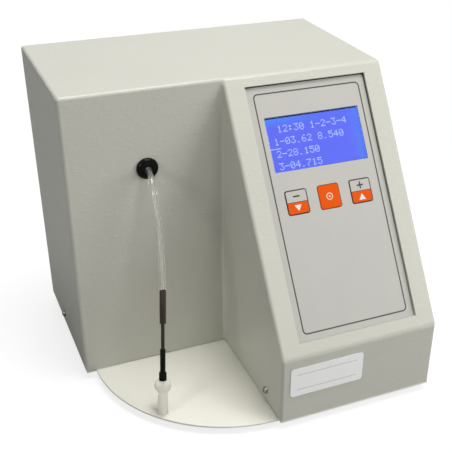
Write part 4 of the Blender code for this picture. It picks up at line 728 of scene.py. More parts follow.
@dataclass(frozen=True)
class KeyFace(Finish):
    """A key's printed face: a light field with a sign over an orange one with an arrow, in a thin line."""

    sign: KeySign
    middle: Pair
    size: Pair
    corner: float
    light: Colour
    orange: Colour
    ink: Colour
    rim: float = 0.0004
    ring: Pair = (0.0023, 0.00035)
    dot: float = 0.0008
    ring_print: Colour = (0.76, 0.58, 0.48)
    bar: Pair = (0.0052, 0.0011)
    bar_corner: float = 0.0001
    bar_height: float = 0.0042
    divider: float = 0.0002
    arrow: Pair = (-0.0019, -0.0066)
    arrow_slant: float = 0.58
    arrow_print: Colour = (0.72, 0.7, 0.67)
    patches: float = 0.01
    gloss: Pair = (0.36, 0.48)
    skin: Pair = (0.0005, 0.00003)

    def shade(self, sheet: NodeSheet) -> None:
        """Lays out the fields and signs inside the rim.

        Args:
            sheet: the material's nodes.
        """
        across, up, _ = sheet.split(sheet.panel_place())
        u, v = (sheet.maths("SUBTRACT", value, centre) for value, centre in zip((across, up), self.middle))
        chooses = self.sign is KeySign.CHOOSE
        colour = self.target(sheet, u, v) if chooses else self.two_fields(sheet, u, v)
        rim = sheet.inside(sheet.rounded_box(across, up, self.middle, self.size, self.corner), -self.rim)
        colour = sheet.mix(rim, self.orange if chooses else self.ink, colour)
        sheet.finish(colour, (sheet.noise(self.patches, 3.0), *self.gloss),
                     (sheet.noise(self.skin[0]), self.skin[1]), Specular_IOR_Level=0.25)

    def target(self, sheet: NodeSheet, u: Input, v: Input) -> Socket:
        """The orange field with a ring and a dot.

        Args:
            sheet: the material's nodes.
            u: the place across, from the key's middle.
            v: the place up, from the key's middle.

        Returns:
            The colour.
        """
        squares = (sheet.maths("POWER", part, 2.0) for part in (u, v))
        distance = sheet.maths("SQRT", sheet.maths("ADD", *squares))
        ring = sheet.line(sheet.maths("SUBTRACT", distance, self.ring[0]), self.ring[1])
        return sheet.mix(sheet.any_of(ring, sheet.inside(distance, self.dot)), self.orange, self.ring_print)

    def two_fields(self, sheet: NodeSheet, u: Input, v: Input) -> Socket:
        """The light field with its sign and the orange field with its arrow.

        The arrow is where the places across and up, slanted, and the place up are within its tip and base.

        Args:
            sheet: the material's nodes.
            u: the place across, from the key's middle.
            v: the place up, from the key's middle.

        Returns:
            The colour.
        """
        more = self.sign is KeySign.MORE
        bars = [sheet.inside(sheet.rounded_box(u, v, (0, self.bar_height), size, self.bar_corner))
                for size in (self.bar, self.bar[::-1])[:2 if more else 1]]
        way, (tip, base) = (1, self.arrow) if more else (-1, self.arrow[::-1])
        slant = sheet.maths("MULTIPLY_ADD", v, way * self.arrow_slant, sheet.maths("ABSOLUTE", u))
        arrow = sheet.maths("MINIMUM", sheet.inside(slant, way * self.arrow_slant * tip),
                            sheet.inside(sheet.maths("MULTIPLY", v, -way), -way * base))
        colour = sheet.mix(arrow, sheet.mix(sheet.inside(v), self.light, self.orange), self.arrow_print)
        return sheet.mix(sheet.any_of(*bars, sheet.line(v, self.divider)), colour, self.ink)


@dataclass(frozen=True)
class LitDisplay(Finish):
    """A backlit display's blue picture, with paler light at its upper left and right ends, and a dark margin
    that is partly the bezel's edge and partly painted shadow.
    """

    blue: Colour
    pale: Colour
    middle: Pair
    size: Pair
    glow_down: float = 0.007
    glow_across: float = 0.045
    right_glow: float = 0.009
    # The dark edge colour is partly the bezel's inner edge and partly painted shadow under the opening's top
    edge: Colour = (0.01, 0.015, 0.06)
    shadow_edge_shift: Pair = (0.0002, -0.0001)
    shadow_edge_growth: Pair = (0.0020, -0.0010)
    shadow_edge_corner: float = 0.0004
    shadow_edge_blur: float = 0.0002
    far_share: float = 0.15
    right_share: float = 0.45
    uneven: Pair = (0.7, 1.2)
    patches: float = 0.012
    glass: Colour = (0.01, 0.012, 0.05)
    strength: float = 0.92

    def shade(self, sheet: NodeSheet) -> None:
        """Lays out the light inside the picture's dark edge, which is partly painted shadow.

        Args:
            sheet: the material's nodes.
        """
        across, up, _ = sheet.split(sheet.panel_place())
        (middle_x, middle_y), (width, height) = self.middle, self.size
        left, right, top = middle_x - width / 2, middle_x + width / 2, middle_y + height / 2
        corner = sheet.maths("MULTIPLY", sheet.between(up, 1.0, 0.0, top, top - self.glow_down),
                             sheet.between(across, 1.0, self.far_share, left, left + self.glow_across))
        share = sheet.maths("ADD", corner,
                            sheet.between(across, 0.0, self.right_share, right - self.right_glow, right))
        share = sheet.maths("MULTIPLY", share, sheet.between(sheet.noise(self.patches), *self.uneven),
                            clamp=True)
        shift, growth = self.shadow_edge_shift, self.shadow_edge_growth
        # Painted shadow in part: a dark margin along the picture's top and bottom
        inner = sheet.rounded_box(across, up, (middle_x + shift[0], middle_y + shift[1]),
                                  (width + growth[0], height + growth[1]), self.shadow_edge_corner)
        light = sheet.mix(sheet.inside(inner, 0.0, self.shadow_edge_blur), self.edge,
                          sheet.mix(share, self.blue, self.pale))
        sheet.finish(self.glass, (sheet.noise(0.0006, 1.0), 0.2, 0.3), Specular_IOR_Level=0.1,
                     Emission_Color=light, Emission_Strength=self.strength)


@dataclass(frozen=True)
class LitDots(Finish):
    """The display's lit dots, pale blue."""

    dim: Colour
    bright: Colour
    drift: float = 0.004
    glass: Colour = (0.02, 0.02, 0.05)

    def shade(self, sheet: NodeSheet) -> None:
        """Lays out their light, which drifts from dim to bright."""
        sheet.finish(self.glass, 0.3, Specular_IOR_Level=0.1, Emission_Strength=1.0,
                     Emission_Color=sheet.mix(sheet.noise(self.drift, 1.0), self.dim, self.bright))


@dataclass(frozen=True)
class CircuitBoard(Finish):
    """A green board: masked copper lines, and parts in blacks, greys and blues above its face."""

    face: float
    outward: float = 1.0
    panel: bool = False
    line_scale: float = 160.0
    part_scale: float = 55.0
    part_height: float = 0.0002
    black_share: float = 0.62
    blue_share: float = 0.16
    share_blur: float = 0.02
    mask: tuple[Colour, Colour] = ((0.012, 0.115, 0.045), (0.014, 0.135, 0.055))
    copper: Colour = (0.03, 0.24, 0.10)
    parts: tuple[Colour, Colour, Colour] = ((0.42, 0.43, 0.42), (0.018, 0.018, 0.02), (0.03, 0.08, 0.25))

    def shade(self, sheet: NodeSheet) -> None:
        """Lays out the copper on the face and the parts' colours over it.

        Args:
            sheet: the material's nodes.
        """
        place = sheet.panel_place() if self.panel else sheet.place()
        height = sheet.maths("MULTIPLY", sheet.split(place)[2], self.outward)
        board = sheet.inside(height, self.face * self.outward + self.part_height)
        bricks = {"Vector": place, "Scale": self.line_scale, "Mortar Size": 0.06, "Color1": self.mask[0],
                  "Color2": self.mask[1], "Mortar": self.copper}
        lines = sheet.add("TexBrick", bricks)["Color"]
        cells = sheet.add("TexVoronoi", {"Vector": sheet.place(), "Scale": self.part_scale})["Color"]
        tone = sheet.split(cells)[0]
        parts = sheet.mix(sheet.inside(tone, self.black_share, self.share_blur), *self.parts[:2])
        parts = sheet.mix(sheet.inside(tone, self.blue_share, self.share_blur), parts, self.parts[2])
        grain = sheet.noise(0.0006)
        sheet.finish(sheet.mix(board, parts, lines), (grain, 0.32, 0.5), (grain, 0.00004))


@dataclass(frozen=True)
class Striped(Finish):
    """A flat cable: grey cores side by side, with one red edge core."""

    pitch: float
    left: float
    greys: tuple[Colour, Colour] = ((0.16, 0.16, 0.165), (0.34, 0.34, 0.35))
    red: Colour = (0.45, 0.03, 0.02)
    depth: float = 0.0003

    def shade(self, sheet: NodeSheet) -> None:
        """Lays out the cores: their height is the sine of half a turn over each pitch.

        Args:
            sheet: the material's nodes.
        """
        across = sheet.split(sheet.place())[0]
        core = sheet.maths("FRACT", sheet.maths("MULTIPLY", across, 1 / self.pitch))
        height = sheet.maths("SINE", sheet.maths("MULTIPLY", core, math.pi))
        grey = sheet.mix(height, *self.greys)
        sheet.finish(sheet.mix(sheet.inside(across, self.left + self.pitch), grey, self.red), 0.45,
                     (height, self.depth))


@dataclass(frozen=True)
class RuledLabel(Finish):
    """A blank white sticker with two faint rules across it."""

    colour: Colour
    rules: tuple[float, ...]
    left: float
    right: float
    rule_width: float = 0.0004
    rule_corner: float = 0.00005
    rule_print: tuple[float, Colour] = (0.7, (0.3, 0.3, 0.3))
    patches: Pair = (0.015, 0.97)
    fibre: Pair = (0.0004, 0.00002)
    gloss: Pair = (0.26, 0.38)

    def shade(self, sheet: NodeSheet) -> None:
        """Lays out the rules over the paper's fibres.

        Args:
            sheet: the material's nodes.
        """
        across, _, up = sheet.split(sheet.place())
        middle, size = (self.left + self.right) / 2, (self.right - self.left, self.rule_width)
        boxes = (sheet.rounded_box(across, up, (middle, height), size, self.rule_corner)
                 for height in self.rules)
        ruled = sheet.any_of(*(sheet.inside(box) for box in boxes))
        colour = sheet.mix(sheet.noise(self.patches[0]), toned(self.colour, self.patches[1]), self.colour)
        fibre = sheet.noise(self.fibre[0], 3.0, 0.7)
        strength, ink = self.rule_print
        sheet.finish(sheet.mix(sheet.maths("MULTIPLY", ruled, strength), colour, ink), (fibre, *self.gloss),
                     (fibre, self.fibre[1]), Specular_IOR_Level=0.9)


class Finishes:
    """The finishes that several pieces share, each made once."""

    def __init__(self) -> None:
        """Makes the materials."""
        self.paint = PowderCoat("case_powder_coat", paint(200, 200, 189)).make()
        self.platform = PowderCoat("platform_powder_coat", paint(235, 234, 222), 0.0018, 0.00004).make()
        self.black_plastic = Moulding("black_moulding", (0.010, 0.010, 0.011), 0.38, shine=0.3).make()
        self.white_plastic = Moulding("white_moulding", paint(236, 236, 230), 0.38, bleed=0.25).make()
        self.rubber = Rubber("black_rubber").make()
        self.steel = Metal("zinc_plated_steel", (0.82, 0.82, 0.79)).make()
        self.aluminium = Metal("milled_aluminium", (0.78, 0.78, 0.79), 0.36, (14, 1, 1)).make()
        self.silicone = ClearPlastic("milky_silicone", (0.86, 0.86, 0.83), 0.4, 0.35, 1.41).make()
        self.window = ClearPlastic("clear_window", (0.97, 0.98, 0.99), 0.02, 1.0, 1.15).make()
        self.lead = Moulding("grey_lead", (0.09, 0.09, 0.095), 0.45, 0.0006, 0.00005).make()


# The sheet-metal case

@dataclass
class CaseCover:
    """The bent cover: one sheet over the block, the recess wall, the console and the slope."""

    bend: float = 0.003
    bend_steps: int = 6
    bend_angle: float = 20.0
    sheet: float = 0.0015
    opening_sides: float = 0.015
    opening_low: float = 0.0095
    opening_high: float = 0.008
    hose_hole: float = 0.006
    screw_hole: float = 0.0018
    screw_z: float = 0.0175
    block_screw_y: float = 0.0626
    console_screw_y: float = -0.0949

    def upright_face(self, outline: tuple[Pair, ...], holes: list[Point]) -> list[np.ndarray]:
        """Cuts an upright face into strips, each cut running through the middle of a hole.

        Args:
            outline: the corners (s, z) of the face, counter-clockwise, its two lower ones first.
            holes: (s, z, radius) of each hole, from low s to high.

        Returns:
            The strips' outlines, which leave the holes open between them.
        """
        (first, floor), (last, _), *roof = outline
        roof = np.array(roof[::-1])
        half = np.linspace(math.pi / 2, -math.pi / 2, 13)
        curve = np.stack((np.cos(half), np.sin(half)), axis=1)
        ends = [(first, floor, 0.0), *holes, (last, floor, 0.0)]
        strips = []
        for (left, left_z, left_radius), (right, right_z, right_radius) in zip(ends, ends[1:]):
            between = roof[(roof[:, 0] > left + TOUCH) & (roof[:, 0] < right - TOUCH)][::-1]
            ceiling = [(end, np.interp(end, roof[:, 0], roof[:, 1])) for end in (right, left)]
            up = (right, right_z) - right_radius * curve
            down = (left, left_z) + left_radius * curve
            strips.append(np.concatenate(([(left, floor), (right, floor)], up if right_radius else up[:0],
                                          ceiling[:1], between, ceiling[1:],
                                          down if left_radius else down[:0])))
        return strips

    def faces(self) -> list[np.ndarray]:
        """Every flat face of the cover's outside, as its corners in order, counter-clockwise from outside.

        Returns:
            The corners of each face.
        """
        console = (self.console_screw_y, self.screw_z, self.screw_hole)
        block = (self.block_screw_y, self.screw_z, self.screw_hole)
        low, knee, top = COVER_FOOT, KNEE_Z, CASE_TOP
        uprights = (
            ((0, WALL_Y, 0), (1, 0, 0), [(GROMMET[0], GROMMET[2], self.hose_hole)],
             ((CASE_LEFT, low), (CONSOLE_LEFT, low), (CONSOLE_LEFT, top), (CASE_LEFT, top))),
            ((CASE_LEFT, 0, 0), (0, -1, 0), [(-block[0], *block[1:])],
             ((-REAR_Y, low), (-WALL_Y, low), (-WALL_Y, top), (-REAR_Y, top))),
            ((CONSOLE_LEFT, 0, 0), (0, -1, 0), [(-console[0], *console[1:])],
             ((-WALL_Y, low), (-FRONT_Y, low), (-FRONT_Y, knee), (-WALL_Y, top))),
            ((CASE_RIGHT, 0, 0), (0, 1, 0), [console, block],
             ((FRONT_Y, low), (REAR_Y, low), (REAR_Y, top), (WALL_Y, top), (FRONT_Y, knee))),
            ((0, FRONT_Y, 0), (1, 0, 0), [],
             ((CONSOLE_LEFT, low), (CASE_RIGHT, low), (CASE_RIGHT, knee), (CONSOLE_LEFT, knee))))
        flat = [origin + strip @ np.array((along, (0, 0, 1))) for origin, along, holes, outline in uprights
                for strip in self.upright_face(outline, holes)]
        flat.append(np.array(((CASE_LEFT, WALL_Y, top), (CASE_RIGHT, WALL_Y, top), (CASE_RIGHT, REAR_Y, top),
                              (CASE_LEFT, REAR_Y, top))))
        return flat + self.slope_faces()

    def slope_faces(self) -> list[np.ndarray]:
        """The slope round its opening: the outer cells of a grid of three by three.

        Returns:
            The corners of each cell.
        """
        half = (CASE_RIGHT - CONSOLE_LEFT) / 2
        across = (-half, -half + self.opening_sides, half - self.opening_sides, half)
        up = (0.0, self.opening_low, SLOPE_LENGTH - self.opening_high, SLOPE_LENGTH)
        return [on_panel([(across[c], up[r], 0), (across[c + 1], up[r], 0), (across[c + 1], up[r + 1], 0),
                          (across[c], up[r + 1], 0)])
                for r in range(3) for c in range(3) if (c, r) != (1, 1)]

    def joined(self, outlines: list[np.ndarray]) -> tuple[np.ndarray, list[list[int]]]:
        """Numbers the corners, and gives each edge the corners of its neighbours that lie on it.

        Args:
            outlines: the faces' corners.

        Returns:
            The corners without doubles, and each face's corner numbers.
        """
        every = np.concatenate(outlines)
        _, first, number = np.unique(np.round(every, 7), axis=0, return_index=True, return_inverse=True)
        points = every[first]
        faces = []
        for corners in np.split(number.ravel(), np.cumsum([len(outline) for outline in outlines])[:-1]):
            face: list[int] = []
            for start, end in zip(corners, np.roll(corners, -1)):
                edge = points[end] - points[start]
                length = np.linalg.norm(edge)
                along = (points - points[start]) @ edge / length
                away = np.linalg.norm(points - points[start] - along[:, None] * edge / length, axis=1)
                between = np.flatnonzero((away < TOUCH) & (along > TOUCH) & (along < length - TOUCH))
                face += [int(one) for one in (start, *between[np.argsort(along[between])])]
            faces.append(face)
        return points, faces

    def build(self, finishes: Finishes) -> None:
        """Builds and dresses the cover.

        Args:
            finishes: the shared materials.
        """
        cover = new_piece("case_cover", *self.joined(self.faces()))
        rounded_edges(cover, self.bend, self.bend_steps, self.bend_angle)
        wall = cover.modifiers.new("sheet", "SOLIDIFY")
        wall.thickness = self.sheet
        wall.offset = -1
        wall.use_even_offset = True
        settled(cover)
        finished(cover, finishes.paint, "cover")


@dataclass
class BaseTray:
    """The tray under the case, with its platform and feet."""

    rim: float = 0.0011
    rim_steps: int = 4
    clear_of_case: float = 0.002
    top_slack: float = 0.0002
    foot_edge: float = 0.0003
    feet: tuple[str, ...] = ("foot_rear_left", "foot_rear_right", "foot_front_right", "foot_platform")

    def round_rim(self, tray: Piece) -> None:
        """Rounds the platform's upper rim alone: the sharp edges that lie on its top, outside the case.

        Args:
            tray: the tray's piece.
        """
        mesh = tray.data
        places, ends = np.empty(3 * len(mesh.vertices)), np.empty(2 * len(mesh.edges), int)
        mesh.vertices.foreach_get("co", places)
        mesh.edges.foreach_get("vertices", ends)
        x, y, z = places.reshape(-1, 3).T
        outside = (x < CONSOLE_LEFT - self.clear_of_case) & (y < WALL_Y - self.clear_of_case)
        outside &= z > z[outside].max() - self.top_slack
        sharp = np.zeros(len(mesh.edges), bool)
        mesh.attributes["sharp_edge"].data.foreach_get("value", sharp)
        weight = (outside[ends].reshape(-1, 2).all(axis=1) & sharp).astype(np.float32)
        mesh.attributes.new("bevel_weight_edge", "FLOAT", "EDGE").data.foreach_set("value", weight)
        rounded_edges(tray, self.rim, self.rim_steps)
        tray.modifiers["rounded_edges"].limit_method = "WEIGHT"

    def build(self, finishes: Finishes) -> None:
        """Builds and dresses the tray and its feet."""
        self.round_rim(carried_over("base_tray", finishes.platform, "case_paint"))
        for foot in self.feet:
            carried_over(foot, finishes.rubber, "black_rubber", self.foot_edge)


@dataclass
class CaseScrews:
    """Pan-head screws with a cross recess, low in the sides and along the rear panel's edge."""

    radius: float = 0.0028
    height: float = 0.0022
    shank: float = 0.0015
    length: float = 0.007
    point: float = 0.0008
    arm: float = 0.0017
    slot_width: float = 0.00055
    depth: float = 0.0011
    rings: int = 26
    steps: int = 64
    smooth_angle: float = 50.0
    faced: tuple[tuple[str, int, int], ...] = (
        ("side_screw_left", -1, 0), ("side_screw_bay", -1, 0), ("side_screw_right_rear", 1, 0),
        ("side_screw_right_front", 1, 0), ("rear_screw_left", 0, 1), ("rear_screw_right", 0, 1))

    def arm_depth(self, across: np.ndarray, along: np.ndarray) -> np.ndarray:
        """How deep one arm of the cross is at each point, from 0 to 1."""
        wide = np.clip((self.slot_width - np.abs(across)) / (0.3 * self.slot_width), 0, 1)
        return wide * np.clip((self.arm - np.abs(along)) / (0.5 * self.arm), 0, 1)

    def points(self) -> np.ndarray:
        """The screw's points on a polar grid, from the head's middle to the shank's end.

        The head's height falls from the middle as the square root of 1 - (radius share) ^ 2.6, less the
        depth of a cross whose two arms fade out at their sides and ends. The shank is three more rings.

        Returns:
            Rows of x, y, height, ring by ring.
        """
        share = np.linspace(0.02, 1, self.rings)[:, None]
        spokes = circle(self.steps)
        x, y = (self.radius * share * part for part in spokes.T)
        z = self.height * np.sqrt(np.clip(1 - share ** 2.6, 0, 1)) \
            - self.depth * np.maximum(self.arm_depth(x, y), self.arm_depth(y, x))
        head = np.stack((x, y, np.maximum(z, 0.0)), axis=-1).reshape(-1, 3)
        shank = ((1, 0.0), (1, self.point - self.length), (0.4, -self.length))
        rings = (np.insert(spokes * self.shank * size, 2, z, axis=1) for size, z in shank)
        return np.concatenate((head, *rings))

    def build(self, finishes: Finishes) -> None:
        """Builds and dresses every screw of the case, each turned by its own angle.

        Args:
            finishes: the shared materials.
        """
        steel = Metal("plated_screw_steel", (0.36, 0.35, 0.32), 0.16).make()
        points, steps = self.points(), self.steps
        faces = grid_faces(self.rings + 3, steps, False)[:, ::-1].tolist()
        faces += [list(range(steps)), list(range(len(points) - steps, len(points)))[::-1]]
        for number, (node, x, y) in enumerate(self.faced):
            low, high = (np.array(corner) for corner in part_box(node))
            out = np.array((x, y, 0.0))
            face = np.where(out > 0, high, np.where(out < 0, low, (low + high) / 2)) - out * self.height
            spin = 0.5 + 0.9 * number
            first = np.array((-y * math.cos(spin), x * math.cos(spin), math.sin(spin)))
            placed = face + points @ np.stack((first, np.cross(out, first), out))
            finished(new_piece("cross_" + node, placed, faces, self.smooth_angle), steel, node)


@dataclass
class FrontLabel:
    """The blank sticker on the lower front."""

    left: float = 0.0066
    right: float = 0.0544
    rules: Pair = (0.0055, 0.0185)

    def build(self, finishes: Finishes) -> None:
        """Dresses the sticker.

        Args:
            finishes: the shared materials.
        """
        rules = tuple(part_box("front_label")[0].z + rule for rule in self.rules)
        label = RuledLabel("label_face", paint(255, 255, 254), rules, self.left, self.right).make()
        carried_over("front_label", label, "label_white")


# The sloping control panel

@dataclass
class ControlPanel:
    """The recessed panel: gasket, plate, printed film, display and three keys."""

    key_pitch: float = 0.0256
    key_size: Pair = (0.0163, 0.0170)
    key_corner: float = 0.0015
    key_line: float = 0.0005
    key_middle: float = 0.107324
    window_middle: float = 0.149724
    window_size: Pair = (0.074, 0.039)
    border_size: Pair = (0.0835, 0.1716)
    border_middle: float = 0.10085
    border_corner: float = 0.003
    border_line: float = 0.0010
    gasket_box: tuple[float, float, float, float] = (-0.0495, 0.0495, 0.00752, 0.19452)
    gasket_inner: tuple[float, float, float, float] = (-0.0470, 0.0470, 0.0100, 0.19205)
    gasket_heights: Pair = (-0.0028, -0.0018)
    gasket_edge: float = 0.00015
    boards: tuple[tuple[str, float, float], ...] = (("display_board", -0.0133, -1.0),
                                                    ("key_board", -0.0128, 1.0))

    def gasket(self) -> Piece:
        """The foam frame under the cover's opening, whose lip fills the gap round the film.

        Four rectangles, outer and inner, low and high, are joined round: each is a row of the grid.

        Returns:
            The gasket.
        """
        low, high = self.gasket_heights
        rows = [((left, down, height), (right, down, height), (right, top, height), (left, top, height))
                for (left, right, down, top), height in ((self.gasket_box, low), (self.gasket_inner, low),
                                                         (self.gasket_inner, high), (self.gasket_box, high))]
        points = on_panel(np.array(rows).reshape(-1, 3))
        gasket = new_piece("foam_gasket", points, grid_faces(4, 4, True)[:, ::-1].tolist())
        rounded_edges(gasket, self.gasket_edge)
        return gasket

    def build(self, finishes: Finishes) -> None:
        """Builds and dresses the panel.

        Args:
            finishes: the shared materials.
        """
        film, dark, orange = paint(187, 185, 179), paint(75, 75, 66), paint(221, 83, 2)
        keys = (("key_down", KeySign.LESS, -self.key_pitch), ("key_enter", KeySign.CHOOSE, 0.0),
                ("key_up", KeySign.MORE, self.key_pitch))
        places = tuple((across, self.key_middle) for _, _, across in keys)
        printed = PanelFilm("panel_film", film, dark, (0.0, self.border_middle), self.border_size,
                            self.border_corner, self.border_line, places, self.key_size, self.key_corner,
                            self.key_line).make()
        # The gasket foam's colours are painted shade: a dark top and a right side that pales downwards
        foam = PaintedShadeFoam("gasket_foam_painted_shade", (0.036, 0.036, 0.029), (0.32, 0.34, 0.26), (0.59, 0.59, 0.55)).make()
        carried_over("panel_overlay", printed, "overlay_film", 0.0001)
        finished(self.gasket(), foam, "panel_gasket")
        carried_over("panel_plate", finishes.aluminium, "aluminium", 0.0002)
        carried_over("display_window", finishes.window, "clear_plastic", 0.0001)
        for (node, sign, _), place in zip(keys, places):
            face = KeyFace(node + "_face", sign, place, self.key_size, self.key_corner, film, orange,
                           paint(63, 61, 53)).make()
            carried_over(node, face, "key_orange" if sign is KeySign.CHOOSE else "key_white", 0.0002, node)
        lit = LitDisplay("display_picture", paint(95, 110, 250), paint(80, 150, 255),
                         (0.0, self.window_middle), self.window_size).make()
        carried_over("display_glass", lit, "display_blue", 0.0001)
        DisplayText(self.window_middle, self.window_size).build()
        carried_over("display_bezel", finishes.black_plastic, "black_plastic", 0.0002)
        for node, face, outward in self.boards:
            carried_over(node, CircuitBoard(node + "_finish", face, outward, True).make(), "board_green")


@dataclass
class DisplayText:
    """The display's characters, of five by seven dots each, and a short underline."""

    window_middle: float
    window_size: Pair
    first: Pair = (0.0052, 0.0061)
    pitch: Pair = (0.0043, 0.0089)
    cell: float = 0.00072
    dot: float = 0.00069
    lift: float = 0.00005
    underline: Pair = (0.0016, 0.0222)
    underline_dots: int = 11
    lines: tuple[str, ...] = (" 12:30 1-2-3-4", "1-03.62 8.540", "2-28.150", "3-04.715")

    def lit_cells(self) -> list[tuple[int, int, np.ndarray]]:
        """Works out which dots are lit: each byte of a character's glyph is a row of five dots.

        Returns:
            Each character's line and place, and the (column, row) of its lit dots.
        """
        glyphs = {"0": "0E11131519110E", "1": "040C040404040E", "2": "0E11010204081F", "3": "1F02040201110E",
                  "4": "02060A121F0202", "5": "1F101E0101110E", "6": "0608101E11110E", "7": "1F010204080808",
                  "8": "0E11110E11110E", "9": "0E11110F01020C", "-": "0000001F000000", ".": "0000000000000C",
                  ":": "000C0C000C0C00", " ": "00000000000000"}
        masks = {letter: (np.array(list(bytes.fromhex(rows)))[:, None] >> np.arange(4, -1, -1)) & 1
                 for letter, rows in glyphs.items()}
        return [(line, place, np.argwhere(masks[letter])[:, ::-1])
                for line, text in enumerate(self.lines) for place, letter in enumerate(text)]

    def build(self) -> None:
        """Lays one small square for each lit dot, just in front of the glass."""
        width, height = self.window_size
        start = np.array((-width / 2, self.window_middle + height / 2))
        step, down = np.array(self.pitch), np.array((1, -1))
        spots = [start + down * (self.first + step * (place, line) + self.cell * cells)
                 for line, place, cells in self.lit_cells()]
        under = np.stack((np.arange(self.underline_dots), np.zeros(self.underline_dots)), axis=1)
        spots.append(start + down * (self.underline + self.cell * under))
        glass = np.array([corner.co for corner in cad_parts["display_glass"].data.vertices])
        face = float(((glass - PANEL_ORIGIN) @ PANEL_AXES[2]).max())
        corners = np.array(((-1, -1), (1, -1), (1, 1), (-1, 1))) * self.dot / 2
        flat = (np.concatenate(spots)[:, None, :] + corners).reshape(-1, 2)
        points = on_panel(np.insert(flat, 2, face + self.lift, axis=1))
        dots = new_piece("display_characters", points, np.arange(len(points)).reshape(-1, 4).tolist())
        finished(dots, LitDots("lit_dots", paint(158, 182, 250), paint(188, 206, 254)).make())


# The sample bay

@dataclass
class Grommet:
    """The domed rubber grommet round the hose."""

    radius: float = 0.008
    hole: float = 0.0024
    lip: float = 0.0006
    dome: float = 0.0035
    neck: float = 0.0057
    gap: float = 0.0003
    sheet: float = 0.0015
    back: float = 0.0025
    steps: int = 64

    def build(self, finishes: Finishes) -> None:
        """Turns and dresses the grommet.

        The dome's radius grows with the sine to the power of 0.9, and its height falls with the cosine.

        Args:
            finishes: the shared materials.
        """
        turn = np.linspace(0, math.pi / 2, 18)
        rim, top, low = self.hole + self.lip, self.gap + self.dome, -self.sheet - self.gap
        radii = rim + (self.radius - rim) * np.sin(turn) ** 0.9
        dome = np.stack((radii, self.gap + self.dome * np.cos(turn)), axis=1)
        lip = ((self.hole, top - 0.0012), (self.hole + 0.0001, top - 0.0003))
        collar = ((self.neck, self.gap), (self.neck, low), (self.neck + 0.0012, low - 0.0002),
                  (self.neck + 0.0010, low - self.back), (self.hole, low - self.back))
        profile = np.concatenate((lip, dome, collar))
        grommet = turned("domed_grommet", profile, GROMMET, np.array((0, -1.0, 0)), self.steps)
        finished(grommet, finishes.rubber, "grommet")


